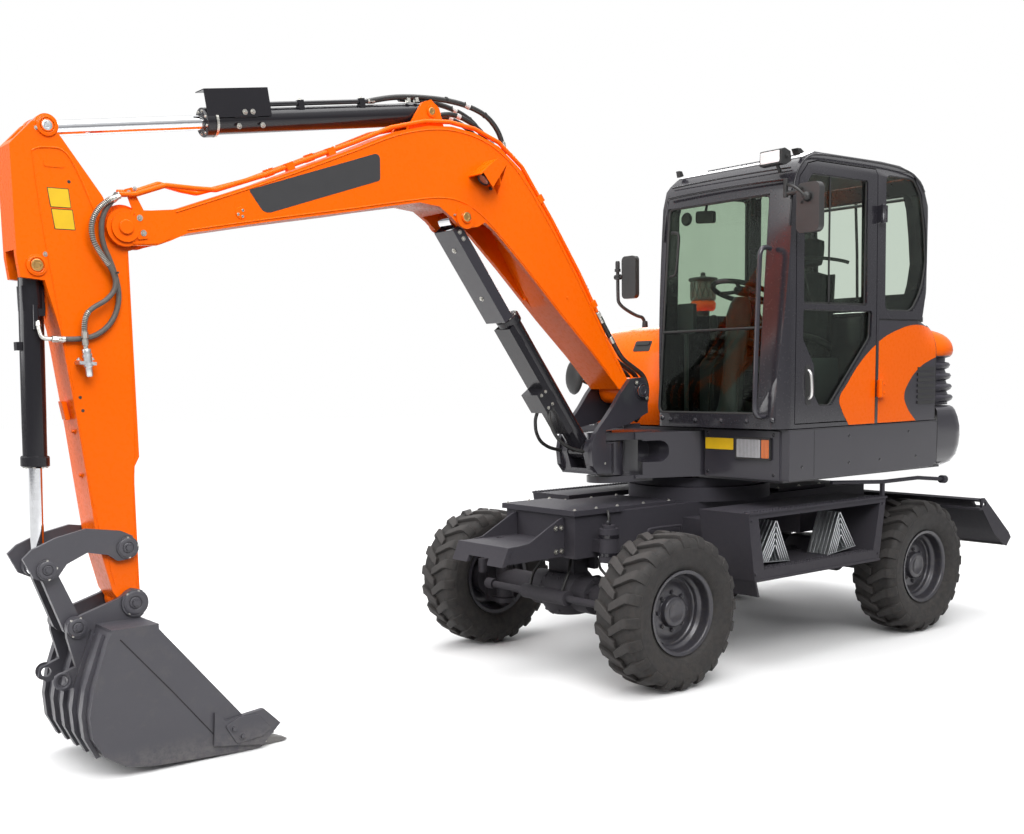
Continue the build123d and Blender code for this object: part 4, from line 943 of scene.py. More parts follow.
weight_rings = [tail_ring(inset, height, weight_front, swell) for inset, height, swell in (
    (0.11, 1.052, -0.02), (0.06, 1.056, 0.0), (0.03, 1.075, 0.01), (0.006, 1.12, 0.02), (0.0, 1.18, 0.035),
    (0.0, 1.24, 0.045), (0.0, 1.30, 0.04), (0.002, 1.36, 0.022), (0.006, 1.40, 0.004), (0.016, 1.42, 0.0),
    (0.032, 1.43, 0.0))]
weight = bmesh.new()
tail_shell(weight, weight_rings)
weight_piece = piece(weight, "counterweight_casting", steel, "upperstructure", crease=50)
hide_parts("counterweight")
eyes = bmesh.new()
for y in (-0.42, 0.42):
    turned(eyes, [(0.0, 0.004), (0.022, 0.004), (0.024, 0.0), (0.024, -0.02)], (-1.50, y, 1.43),
           (0, 0, 1), 20)
for y in (-0.55, 0.55):
    x = -((tail_reach + 0.045) ** 2 - y * y) ** 0.5
    turned(eyes, [(0.0, 0.004), (0.030, 0.004), (0.034, 0.0), (0.034, -0.03)], (x, y, 1.25), (x, y, 0), 24)
piece(eyes, "counterweight_plugs", plastic, "upperstructure", crease=40)
shelf = bmesh.new()
block(shelf, (-1.088, -0.99), (0.01, 0.79), (1.852, 1.858))
block(shelf, (-0.965, -0.507), (0.930, 0.947), (1.948, 1.978))
piece(shelf, "rear_shelf", plastic, "upperstructure", 0.001)
gap = bmesh.new()
block(gap, (-1.1045, -1.1008), (0.920, 0.9552), (1.36, 1.93))
rolled_in(gap)
piece(gap, "quarter_panel_seal", plastic, "upperstructure")


# ---- Door hinges: two pinned knuckles on the door's rear edge, turned from bar.
# The lower one is welded to a bolted leaf on the quarter panel, the upper one to the cab's post.

knuckle = [(0.0, 0.105), (0.011, 0.105), (0.0128, 0.103), (0.0128, 0.0555), (0.0118, 0.0535),
           (0.0128, 0.0515), (0.0128, 0.002), (0.011, 0.0), (0.0, 0.0)]
hinge_low = bmesh.new()
turned(hinge_low, knuckle, (-0.485, 0.985, 1.5025), (0, 0, 1), 18)
block(hinge_low, (-0.5408, -0.4885), (0.9556, 0.9908), (1.5062, 1.6038))
for z in (1.53, 1.58):
    bolt(hinge_low, (-0.520, 0.9908, z), (0, 1, 0), 0.010, 0.004)
piece(hinge_low, "door_hinge_low", orange, "upperstructure", 0.0012)
hinge_top = bmesh.new()
turned(hinge_top, knuckle, (-0.485, 0.985, 2.5075), (0, 0, 1), 18)
for z in (2.535, 2.585):
    bolt(hinge_top, (-0.510, 0.990, z), (0, 1, 0), 0.010, 0.004)
piece(hinge_top, "door_hinge_top", cab_steel, "upperstructure")


# ---- Right front cover: an orange pressing whose outer corner is a broad round and whose top rolls over.
# It has pinned hinges along its rear edge and a dark grab recess in its nose.

def cover_ring(height, front_in, side_in, inner_in):
    """The front cover's plan at a height: its outer front corner is a quarter of an ellipse."""
    front, side = 0.302 - front_in, 0.955 - side_in
    ring = [(-0.316, -side, height)]
    for step in range(13):
        angle = pi / 2 * step / 12
        ring.append((-0.15 + (front + 0.15) * sin(angle), -0.35 - (side - 0.35) * cos(angle), height))
    return ring + [(front, -0.06 - inner_in, height), (front - 0.01, -0.03 - inner_in, height),
                   (-0.316, -0.03 - inner_in, height)]


cover = bmesh.new()
tail_shell(cover, [cover_ring(*spot) for spot in ((1.349, 0.0, 0.0, 0.0), (1.60, 0.004, 0.0, 0.0),
                                                  (1.74, 0.009, 0.0, 0.0), (1.79, 0.018, 0.003, 0.0),
                                                  (1.83, 0.034, 0.009, 0.0), (1.87, 0.056, 0.018, 0.0),
                                                  (1.90, 0.080, 0.028, 0.0), (1.925, 0.110, 0.052, 0.004),
                                                  (1.942, 0.142, 0.080, 0.012), (1.953, 0.178, 0.105, 0.022),
                                                  (1.960, 0.222, 0.125, 0.034))])
cover_piece = piece(cover, "front_cover_shell", orange, "front_cover", crease=50)
sheet_wall(cover_piece)
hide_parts("right_front_cover")
hinges = bmesh.new()
for y in (-0.80, -0.30):
    turned(hinges, [(0.0, 0.045), (0.011, 0.045), (0.012, 0.043), (0.012, -0.043), (0.011, -0.045),
                    (0.0, -0.045)], (-0.318, y, 1.968), (0, 1, 0), 16)
piece(hinges, "front_cover_hinges", steel, "upperstructure", crease=40)

grab = bmesh.new()
slab(grab, oblong((-0.30, -0.155), (-0.036, 0.036), 0.012), -0.001, 0.004, "x")
slab(grab, oblong((-0.285, -0.17), (0.004, 0.028), 0.006), 0.004, 0.010, "x")
bmesh.ops.rotate(grab, verts=grab.verts, cent=(0, 0, 0), matrix=Matrix.Rotation(-0.4636, 3, "Y"))
bmesh.ops.translate(grab, verts=grab.verts, vec=(0.2625, 0, 1.835))
piece(grab, "cover_grab_recess", plastic, "front_cover", 0.0015)


# ---- Air pre-cleaner: a vaned body on an orange collar, under a bowl of smoky plastic and a black cap.
# It stands on a neck through the right rear cover.

intake_axis = Vector((-0.69, -0.6, 0))
smoke = Finish("smoky_bowl", (0.5, 0.5, 0.48), 0.08)
smoke.set("Transmission Weight", 0.85)
smoke.set("Base Color", smoke.mix(smoke.noise(30, 4), (0.30, 0.30, 0.28), (0.62, 0.62, 0.6)))
intake = bmesh.new()
turned(intake, [(0.0, 1.961), (0.060, 1.961), (0.060, 1.975), (0.045, 1.980), (0.045, 2.140), (0.075, 2.152),
                (0.080, 2.156), (0.0, 2.156)], intake_axis, (0, 0, 1), 48)
turned(intake, [(0.0, 2.288), (0.090, 2.288), (0.098, 2.291), (0.0995, 2.297), (0.0995, 2.308),
                (0.090, 2.314), (0.060, 2.318), (0.024, 2.319), (0.016, 2.330), (0.018, 2.342),
                (0.010, 2.350), (0.0, 2.351)], intake_axis, (0, 0, 1), 48)
for turn in range(12):
    start = radians(turn * 30)
    add_run(intake, [intake_axis + Vector((cos(start + lag) * reach, sin(start + lag) * reach, z))
                     for lag, reach, z in ((0.0, 0.078, 2.156), (0.3, 0.080, 2.22), (0.6, 0.082, 2.289))],
            0.004, 6)
body_of_intake = piece(intake, "precleaner_body", plastic, "upperstructure", crease=40)
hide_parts("precleaner")
collar = bmesh.new()
turned(collar, [(0.044, 2.085), (0.070, 2.085), (0.082, 2.095), (0.088, 2.110), (0.088, 2.140),
                (0.078, 2.156), (0.044, 2.156)], intake_axis, (0, 0, 1), 40)
piece(collar, "precleaner_collar", orange, "upperstructure", crease=40)
bowl = bmesh.new()
turned(bowl, [(0.0785, 2.1565), (0.086, 2.160), (0.089, 2.18), (0.0895, 2.262), (0.088, 2.2875),
              (0.084, 2.2875), (0.0855, 2.262), (0.085, 2.18), (0.082, 2.1635), (0.0785, 2.1605),
              (0.0785, 2.1565)], intake_axis, (0, 0, 1), 48)
piece(bowl, "precleaner_bowl", smoke.material, "upperstructure", crease=40)


# ---- Cab glass and seals: tinted, toughened panes in extruded black rubber.
# A bead of rubber is pressed round each opening, and bars part the door's and the rear window's panes.

def glazing():
    glass = Finish("tinted_glass", (0.57, 0.655, 0.57), 0.0)
    glass.set("Transmission Weight", 1.0)
    glass.set("IOR", 1.25)
    glass.set("Base Color", glass.mix(glass.noise(3.0, 2), (0.535, 0.62, 0.53), (0.55, 0.635, 0.545)))
    return glass.material


glass_finish = glazing()
for node in ("cab_glass", "door_glass"):
    dress(node, glass_finish)


def seal(shape, outline, y, radius, corner):
    """A closed rubber bead along an outline with rounded corners."""
    curve = line_through([(x, y, z) for x, z in rounded(outline, corner, 5)], False)
    curve.splines[0].use_cyclic_u = True
    curve.bevel_depth = radius
    curve.bevel_resolution = 2
    add_mesh(shape, mesh_of(curve))


door_top_window = [(0.196, 2.034), (0.190, 2.600), (0.170, 2.690), (0.120, 2.742), (-0.380, 2.742),
                   (-0.380, 2.034)]
door_low_window = [(0.200, 2.006), (0.200, 1.840), (0.104, 1.700), (0.094, 1.525), (0.050, 1.470),
                   (-0.060, 1.470), (-0.110, 1.525), (-0.424, 1.850), (-0.430, 2.006)]
quarter_window = [(-0.556, 2.010), (-0.556, 2.790), (-0.840, 2.790), (-0.915, 2.700), (-0.962, 2.500),
                  (-0.985, 2.300), (-0.945, 2.150), (-0.900, 2.080), (-0.840, 2.010)]
right_window = [(0.210, 2.010), (0.195, 2.600), (0.150, 2.740), (-0.450, 2.740), (-0.450, 2.010)]
seals = bmesh.new()
seal(seals, door_top_window, 0.9375, 0.0065, 0.018)
seal(seals, door_low_window, 0.9395, 0.0065, 0.018)
block(seals, (-0.052, -0.040), (0.9365, 0.9415), (2.04, 2.738))
block(seals, (-0.378, 0.192), (0.9365, 0.9415), (2.036, 2.048))
piece(seals, "door_window_seals", plastic, "door", crease=50)
seals = bmesh.new()
seal(seals, quarter_window, 0.9395, 0.0075, 0.040)
seal(seals, quarter_window, 0.0005, 0.0075, 0.040)
seal(seals, right_window, 0.0005, 0.0075, 0.025)
screen = [Vector((0.3735 - 0.0777 * (z - 1.43), y, z)) for y, z in
          oblong((0.024, 0.793), (1.432, 2.638), 0.035, 5)]
screen.append(screen[0])
add_run(seals, screen, 0.009, 8, False)
add_run(seals, [(0.338, 0.03, 1.91), (0.338, 0.79, 1.91)], 0.008, 8, False)
for y, z in ((0.43, 2.12), (0.43, 2.70)):
    add_run(seals, [(-1.012, 0.115, z), (-1.012, 0.825, z)], 0.009, 8, False)
for y in (0.115, 0.43, 0.825):
    add_run(seals, [(-1.016, y, 2.12), (-1.006, y, 2.41), (-0.985, y, 2.70)], 0.009, 8, False)
piece(seals, "cab_window_seals", plastic, "upperstructure", crease=50)


# ---- Cab rails, roof, work lamp and door handle: bent tube, pressed sheet and moulded plastic on the cab.
# Drip rails run along the roof's edge, a hatch panel lies on it, and the lamp stands over the front post.

rail = bmesh.new()
add_run(rail, [(0.345, 0.845, 2.335), (0.395, 0.845, 2.345), (0.425, 0.840, 2.32), (0.428, 0.838, 2.24),
               (0.440, 0.838, 2.0), (0.452, 0.838, 1.70), (0.458, 0.838, 1.50), (0.455, 0.838, 1.44),
               (0.430, 0.842, 1.415), (0.378, 0.845, 1.42)], 0.0135, 14)
piece(rail, "cab_grab_rail", charcoal_enamel("rail_enamel", 0.9, 0, 0.2, 0.8), "upperstructure", crease=60)
studs = bmesh.new()
for y in (0.13, 0.33, 0.53, 0.72):
    turned(studs, [(0.0, 0.010), (0.007, 0.009), (0.012, 0.005), (0.013, 0.0), (0.013, -0.002)],
           (0.385, y, 1.392), (1, 0, 0), 16)
for y in (0.06, 0.90):
    turned(studs, [(0.0, 0.012), (0.009, 0.010), (0.015, 0.004), (0.016, 0.0)], (0.385, y, 1.40),
           (1, 0, 0), 16)
piece(studs, "cab_studs", cab_steel, "upperstructure")
trim = bmesh.new()
add_run(trim, [(0.298, 0.035, 2.700), (0.300, 0.18, 2.708), (0.300, 0.75, 2.708), (0.298, 0.90, 2.700)],
        0.008, 8)
add_run(trim, [(0.262, 0.03, 2.765), (0.262, 0.2, 2.772), (0.262, 0.75, 2.772), (0.262, 0.91, 2.765)],
        0.005, 8)
for side_y in (0.9525, 0.0075):
    add_run(trim, [(0.315, side_y, 2.45), (0.296, side_y, 2.66), (0.24, side_y, 2.77),
                   (0.16, side_y - 0.002, 2.832), (0.05, side_y - 0.012, 2.852),
                   (-0.25, side_y - 0.012, 2.853), (-0.56, side_y - 0.012, 2.852),
                   (-0.75, side_y - 0.006, 2.836), (-0.86, side_y, 2.80), (-0.94, side_y, 2.72)], 0.006, 8)
piece(trim, "roof_drip_rails", gloss_black, "upperstructure", crease=60)
roof = bmesh.new()
slab(roof, oblong((-0.62, -0.08), (0.16, 0.78), 0.07, 6), 2.868, 2.8698, "z")
slab(roof, oblong((-0.02, 0.07), (0.12, 0.82), 0.02, 5), 2.8625, 2.8698, "z")
piece(roof, "roof_hatch_panel", gloss_black, "upperstructure", 0.0008)

lamp_body = bmesh.new()
slab(lamp_body, [(0.372, 2.776), (0.366, 2.852), (0.340, 2.860), (0.292, 2.845), (0.284, 2.795),
                 (0.330, 2.772)], 0.786, 0.934)
add_run(lamp_body, [(0.318, 0.86, 2.80), (0.305, 0.86, 2.765), (0.285, 0.86, 2.745)], 0.010, 10)
for y in (0.78, 0.94):
    bolt(lamp_body, (0.325, y, 2.815), (0, 1 if y > 0.9 else -1, 0), 0.014, 0.006)
piece(lamp_body, "work_lamp_housing", plastic, "upperstructure", 0.006, 3)
lamp_glass = bmesh.new()
slab(lamp_glass, oblong((0.795, 0.925), (2.784, 2.846), 0.008), 0.3715, 0.3755, "x")
piece(lamp_glass, "work_lamp_lens", plain_finish("frosted_lens", (0.86, 0.83, 0.82), 0.22, 0.9, 60, 0.8),
      "upperstructure", 0.0012)
horn = bmesh.new()
slab(horn, [(0.215, 2.835), (0.235, 2.868), (0.205, 2.869), (0.175, 2.852)], 0.890, 0.935)
slab(horn, [(0.215, 2.83), (0.225, 2.868), (0.200, 2.868), (0.185, 2.84)], 0.020, 0.050)
turned(horn, [(0.0, 0.016), (0.008, 0.016), (0.010, 0.010), (0.013, 0.0)], (-0.62, 0.90, 2.852),
       (0, 0, 1), 12)
piece(horn, "roof_brackets", plastic, "upperstructure", 0.003)

grip_cup = bmesh.new()
slab(grip_cup, rounded([(0.128, 1.478), (0.176, 1.478), (0.182, 1.700), (0.134, 1.700)], 0.018, 5),
     0.9595, 0.9625)
piece(grip_cup, "door_handle_cup", plastic, "door", 0.001)
lever = bmesh.new()
add_run(lever, [(0.150, 0.963, 1.515), (0.150, 0.980, 1.520), (0.152, 0.985, 1.56), (0.156, 0.985, 1.62),
                (0.158, 0.980, 1.662), (0.158, 0.963, 1.668)], 0.009, 12)
piece(lever, "door_handle", bright_metal("cast_handle", (0.75, 0.74, 0.72), 0.3), "door", crease=60)


# ---- Mirrors: moulded housings on round stalks, with silvered faces looking back.
# A low round mirror on the right watches the ground beside the boom.

silver = Finish("mirror_glass", (0.85, 0.87, 0.9), 0.03, metallic=1.0)
silver.set("Base Color", silver.mix(silver.noise(3, 2), (0.82, 0.84, 0.87), (0.88, 0.90, 0.92)))
moulded = black_plastic("moulded_mirror", 0.03, 0.4)
dress("mirror_left", moulded, 0.008, 3)
face = bmesh.new()
slab(face, oblong((1.024, 1.146), (2.414, 2.646), 0.025, 5), 0.2905, 0.2925, "x")
piece(face, "mirror_face_left", silver.material, "upperstructure")
right_mirror = bmesh.new()
slab(right_mirror, oblong((-0.655, -0.525), (2.155, 2.430), 0.03, 5), -0.002, 0.034,
     "x")
add_run(right_mirror, [(-0.127, -0.60, 1.955), (-0.127, -0.60, 2.035), (-0.075, -0.63, 2.045),
                       (0.030, -0.688, 2.12), (0.035, -0.690, 2.18), (0.035, -0.690, 2.385)], 0.0115, 12)
add_run(right_mirror, [(0.035, -0.692, 2.30), (0.035, -0.650, 2.30)], 0.010, 10, False)
stalk_and_head = piece(right_mirror, "right_mirror", moulded, "front_cover", 0.004, 3)
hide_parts("mirror_right")
face = bmesh.new()
slab(face, oblong((-0.645, -0.535), (2.166, 2.419), 0.024, 5), -0.0040, -0.0020, "x")
piece(face, "mirror_face_right", silver.material, "front_cover")
joints = bmesh.new()
turned(joints, [(0.0, 0.03), (0.014, 0.028), (0.024, 0.018), (0.026, 0.0), (0.022, -0.012), (0.0, -0.014)],
       (0.338, 1.085, 2.585), (1, 0, 0), 20)
add_run(joints, [(0.358, 1.085, 2.585), (0.375, 1.06, 2.62), (0.362, 0.99, 2.655), (0.325, 0.945, 2.665)],
        0.008, 10)
for z in (2.63, 2.56):
    bolt(joints, (0.337, 1.045, z), (1, 0, 0), 0.012, 0.006)
add_run(joints, [(0.325, 0.93, 2.60), (0.325, 0.93, 2.70)], 0.013, 12, False)
piece(joints, "mirror_joint_left", plastic, "upperstructure", crease=50)
joints = bmesh.new()
turned(joints, [(0.0, 0.02), (0.012, 0.019), (0.015, 0.010), (0.015, -0.03), (0.020, -0.032), (0.020, -0.05),
                (0.0, -0.05)], (0.035, -0.690, 2.385), (0, 0, 1), 16)
turned(joints, [(0.0, 0.02), (0.016, 0.018), (0.018, 0.0), (0.018, -0.03), (0.0, -0.03)],
       (0.035, -0.694, 2.30), (0, -1, 0), 16)
turned(joints, [(0.0, 0.052), (0.014, 0.050), (0.018, 0.042), (0.020, 0.004), (0.030, 0.0), (0.030, -0.008)],
       (-0.127, -0.60, 1.962), (0, 0, 1), 16)
piece(joints, "mirror_joint_right", plastic, "front_cover", crease=50)
low_mirror = bmesh.new()
turned(low_mirror, [(0.0, 0.026), (0.05, 0.023), (0.09, 0.012), (0.114, -0.006), (0.120, -0.020),
                    (0.114, -0.028), (0.0, -0.028)], (0.52, -0.60, 1.66), (1.0, -0.35, 0.1), 40)
add_run(low_mirror, [(0.29, -0.60, 1.60), (0.36, -0.60, 1.60), (0.43, -0.60, 1.62), (0.505, -0.60, 1.655)],
        0.010, 10)
turned(low_mirror, [(0.0, 0.01), (0.028, 0.008), (0.030, 0.0), (0.030, -0.006)], (0.300, -0.60, 1.60),
       (1, 0, 0), 16)
piece(low_mirror, "ground_mirror", plastic, "front_cover", crease=50)


# ---- Cab inside: sprung seat with padded cushions, consoles, steering wheel and levers.
# The seat is moulded foam under woven cloth; consoles and column are grained plastic.

def seat_cloth():
    cloth = Finish("seat_cloth", (0.03, 0.03, 0.034), 0.85)
    warp = (cloth.axis(1) * 1900.0).maths("SINE")
    weft = ((cloth.axis(0) + cloth.axis(2)) * 1900.0).maths("SINE")
    weave = (warp * weft).spread(0.2, 0.8)
    cloth.set("Base Color", cloth.mix(weave * cloth.noise(20, 3).spread(0.6, 1.0), (0.018, 0.018, 0.02),
                                      (0.055, 0.055, 0.06)))
    cloth.set("Roughness", cloth.noise(90, 2).spread(0.78, 0.95))
    cloth.bump(weave, 0.5, 0.0008)
    return cloth.material


def cushion(name, x, y, z, lean, crown=0.28):
    """A crowned pad: a subdivided block whose middle swells and whose sides pull in, with a sewn channel."""
    pad = bmesh.new()
    bmesh.ops.create_cube(pad, size=1.0)
    bmesh.ops.subdivide_edges(pad, edges=pad.edges[:], cuts=11, use_grid_fill=True)
    size = Vector((x[1] - x[0], y[1] - y[0], z[1] - z[0]))
    centre = Vector(((x[0] + x[1]) / 2, (y[0] + y[1]) / 2, (z[0] + z[1]) / 2))
    for vert in pad.verts:
        a, b, c = vert.co * 2
        swell = (1 - b ** 4) * ((1 - c ** 4) if lean else (1 - a ** 4))
        pinch = 1 - 0.07 * (b * b * (c * c if lean else a * a))
        channel = 0.35 if abs(abs(b) - 0.45) < 0.07 else 0.0
        if lean:
            depth = a * (0.72 + (crown - channel * 0.12) * swell)
            vert.co = Vector((depth, b * pinch, c * pinch)) * 0.5
        else:
            depth = c * (0.72 + (crown - channel * 0.12) * swell)
            vert.co = Vector((a * pinch, b * pinch, depth)) * 0.5
    bmesh.ops.scale(pad, verts=pad.verts, vec=size)
    if lean:
        bmesh.ops.rotate(pad, verts=pad.verts, cent=(0, 0, 0), matrix=Matrix.Rotation(-lean, 3, "Y"))
    bmesh.ops.translate(pad, verts=pad.verts, vec=centre)
    made = piece(pad, name, cloth_finish, "upperstructure", crease=180)
    soft = made.modifiers.new("soft", "SUBSURF")
    soft.levels = 1
    soft.render_levels = 1


cloth_finish = seat_cloth()
cushion("seat_cushion", (-0.40, 0.07), (0.26, 0.68), (1.565, 1.675), 0.0)
cushion("seat_backrest", (-0.43, -0.29), (0.275, 0.665), (1.69, 2.26), 0.14)
cushion("seat_headrest", (-0.48, -0.395), (0.355, 0.585), (2.295, 2.455), 0.14)
base = bmesh.new()
slab(base, rounded([(-0.35, 1.405), (-0.03, 1.405), (-0.06, 1.50), (-0.30, 1.50)], 0.02), 0.305, 0.635)
for z in (1.505, 1.525, 1.545):
    slab(base, oblong((-0.345, -0.03), (z, z + 0.014), 0.004), 0.30, 0.64)
slab(base, rounded([(-0.46, 1.66), (-0.43, 1.66), (-0.475, 2.24), (-0.492, 2.24)], 0.008), 0.29, 0.65)
for y in (0.44, 0.50):
    add_run(base, [(-0.455, y, 2.20), (-0.452, y, 2.32)], 0.006, 8, False)
for y in (0.225, 0.715):
    add_run(base, [(-0.36, y, 1.80), (-0.25, y, 1.865), (0.0, y, 1.87)], 0.022, 12)
under = piece(base, "seat_frame", plastic, "upperstructure", 0.002)
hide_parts("seat")

column_grey = plain_finish("column_plastic", (0.05, 0.058, 0.065), 0.42, 0.7)
consoles = bmesh.new()
slab(consoles, rounded([(-0.33, 1.40), (0.06, 1.40), (0.06, 1.70), (0.02, 1.74), (-0.33, 1.74)], 0.02),
     0.705, 0.80)
slab(consoles, rounded([(-0.33, 1.40), (0.12, 1.40), (0.12, 1.72), (0.08, 1.76), (-0.33, 1.76)], 0.02),
     0.12, 0.235)
for y in (0.365, 0.575):
    slab(consoles, rounded([(0.20, 1.41), (0.29, 1.43), (0.285, 1.445), (0.195, 1.425)], 0.004),
         y - 0.035, y + 0.035)
slab(consoles, oblong((0.04, 0.17), (1.90, 2.08), 0.012), 0.20, 0.23, "x")
add_run(consoles, [(0.215, 0.10, 1.40), (0.215, 0.10, 1.90)], 0.014, 12, False)
lofted(consoles, [[(x + cos(radians(a)) * wide, 0.47 + sin(radians(a)) * wide * 1.25, z)
                   for a in range(0, 360, 20)] for x, z, wide in ((0.25, 1.405, 0.075), (0.235, 1.48, 0.062),
                                                                  (0.21, 1.66, 0.056), (0.185, 1.86, 0.058),
                                                                  (0.165, 2.0, 0.064), (0.155, 2.06, 0.052),
                                                                  (0.150, 2.10, 0.034))])
consoles_piece = piece(consoles, "consoles_and_column", column_grey, "upperstructure", 0.003)
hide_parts("controls")
wheel = bmesh.new()
turned(wheel, [(0.170 + cos(radians(a)) * 0.0145, sin(radians(a)) * 0.0145) for a in range(0, 361, 30)],
       (0, 0, 0), (0, 0, 1), 48)
turned(wheel, [(0.0, 0.026), (0.030, 0.025), (0.044, 0.018), (0.048, 0.004), (0.044, -0.012), (0.0, -0.016)],
       (0, 0, 0), (0, 0, 1), 32)
for angle in (0.5, 2.64, -1.57):
    add_run(wheel, [(cos(angle) * 0.03, sin(angle) * 0.03, 0.004),
                    (cos(angle) * 0.09, sin(angle) * 0.09, -0.004),
                    (cos(angle) * 0.165, sin(angle) * 0.165, 0.0)], 0.011, 10)
turned(wheel, [(0.0, 0.052), (0.016, 0.050), (0.024, 0.036), (0.016, 0.014), (0.010, 0.0)],
       (-0.09, 0.14, 0.012), (0, 0, 1), 18)
bmesh.ops.rotate(wheel, verts=wheel.verts, cent=(0, 0, 0), matrix=Matrix.Rotation(-0.3367, 3, "Y"))
bmesh.ops.translate(wheel, verts=wheel.verts, vec=(0.145, 0.47, 2.13))
piece(wheel, "steering_wheel", plastic, "upperstructure", crease=50)
levers = bmesh.new()
for x, y in ((0.0, 0.752), (0.06, 0.178)):
    turned(levers, [(0.0, 2.012), (0.014, 2.010), (0.024, 1.996), (0.027, 1.972), (0.024, 1.930),
                    (0.019, 1.895), (0.016, 1.86)], (x, y, 0), (0, 0, 1), 20)
    for fold in range(5):
        shrink, rise = fold * 0.006, fold * 0.016
        turned(levers, [(0.046 - shrink, 1.742 + rise), (0.050 - shrink, 1.750 + rise),
                        (0.040 - shrink, 1.758 + rise)], (x, y, 0), (0, 0, 1), 20)
for y in (0.36, 0.58):
    add_run(levers, [(0.30, y, 1.44), (0.30, y, 1.62), (0.27, y, 1.70), (0.21, y, 1.72)], 0.008, 8)
piece(levers, "control_levers", plastic, "upperstructure", crease=50)
panel = bmesh.new()
for row in range(4):
    for column in range(3):
        x = -0.24 + row * 0.05
        y = 0.148 + column * 0.028
        slab(panel, oblong((x, x + 0.036), (y, y + 0.02), 0.003), 1.757, 1.767, "z")
slab(panel, oblong((-0.29, -0.16), (0.73, 0.785), 0.01), 1.737, 1.747, "z")
piece(panel, "console_switches", gloss_black, "upperstructure", 0.001)
screen_face = bmesh.new()
slab(screen_face, oblong((0.052, 0.158), (1.912, 2.068), 0.006), 0.1975, 0.2, "x")
piece(screen_face, "monitor_screen", gloss_black, "upperstructure", 0.0008)
fittings = bmesh.new()
slab(fittings, rounded([(0.18, 2.545), (0.32, 2.535), (0.32, 2.605), (0.18, 2.615)], 0.015), 0.20, 0.222, "x")
add_run(fittings, [(0.21, 0.25, 2.61), (0.20, 0.25, 2.66), (0.17, 0.25, 2.70)], 0.008, 8)
turned(fittings, [(0.0, 0.012), (0.034, 0.010), (0.040, 0.0), (0.036, -0.01), (0.0, -0.012)],
       (0.235, 0.12, 2.575), (1, 0, 0), 24)
add_run(fittings, [(0.285, 0.045, 2.50), (0.285, 0.085, 2.50), (0.283, 0.105, 2.48), (0.292, 0.105, 2.40),
                   (0.300, 0.100, 2.26), (0.302, 0.08, 2.24), (0.302, 0.045, 2.24)], 0.009, 10)
add_run(fittings, [(0.20, 0.60, 2.66), (0.20, 0.60, 2.60), (0.205, 0.605, 2.55)], 0.012, 8)
add_run(fittings, [(0.02, 0.90, 2.02), (0.02, 0.865, 2.03), (0.10, 0.86, 2.26), (0.12, 0.865, 2.30),
                   (-0.25, 0.865, 2.30), (-0.28, 0.90, 2.28)], 0.010, 10)
piece(fittings, "cab_inner_fittings", plastic, "upperstructure", crease=50)
lining = bmesh.new()
block(lining, (-0.90, 0.16), (0.05, 0.87), (2.792, 2.806))
block(lining, (-0.30, 0.31), (0.24, 0.70), (1.395, 1.404))
piece(lining, "cab_lining", plain_finish("cab_lining", (0.045, 0.045, 0.048), 0.85), "upperstructure", 0.002)


# ---- Boom: a welded box painted orange, with seams along its side plates and cast bosses at its pins.
# Pin ends are bronze or painted caps in rolled rings, each held by a bolted keeper. A charcoal panel lies on
# each side plate, and a lamp stands in a folded guard on the left.

def pin_end(shape, at, y, cap, ring, rise):
    """A pin's dished cap and the rolled ring round it, at both ends."""
    for side in (-1, 1):
        spot = (at[0], side * y, at[1])
        if cap:
            turned(shape, [(0.0, rise * 0.4), (cap * 0.5, rise * 0.4), (cap * 0.6, rise * 0.9),
                           (cap * 0.9, rise * 0.9), (cap, rise * 0.6), (cap, -0.001)], spot, (0, side, 0), 36)
        if ring:
            turned(shape, [(cap * 1.1, -0.001), (cap * 1.1, rise * 0.5), (cap * 1.18, rise * 0.75),
                           (ring * 0.93, rise * 0.75), (ring, rise * 0.4), (ring, -0.001)], spot,
                   (0, side, 0), 40)


def nipple(shape, at, side):
    """A grease nipple: hexagon foot and round head."""
    turned(shape, [(0.0, 0.016), (0.0028, 0.015), (0.0036, 0.012), (0.0022, 0.009), (0.003, 0.006)], at,
           (0, side, 0), 10)
    turned(shape, [(0.0, 0.006), (0.006, 0.0055), (0.0065, 0.0), (0.0, 0.0)], at, (0, side, 0), 6)


boom_rod_pin = (1.88, 2.485)
arm_base_pin = (2.05, 3.0)
arm_rod_pin = (3.975, 2.725)
bucket_base_pin = (4.05, 2.16)
boom_castings = bmesh.new()
boom_bolts = bmesh.new()
boom_caps = bmesh.new()
boom_seams = bmesh.new()
under_seam = [(3.40, 2.334), (3.30, 2.352), (3.007, 2.407), (2.578, 2.480), (2.396, 2.514), (2.20, 2.549),
              (2.05, 2.574), (1.92, 2.572), (1.80, 2.524), (1.69, 2.442), (1.50, 2.270), (1.217, 1.993),
              (0.99, 1.786), (0.87, 1.664)]
upper_seam = [(3.45, 2.408), (3.0, 2.566), (2.5, 2.765), (2.3, 2.852), (2.1, 2.902), (1.95, 2.914),
              (1.80, 2.896), (1.66, 2.846), (1.51, 2.738), (1.31, 2.484), (1.11, 2.196),
              (0.91, 1.88), (0.78, 1.68)]
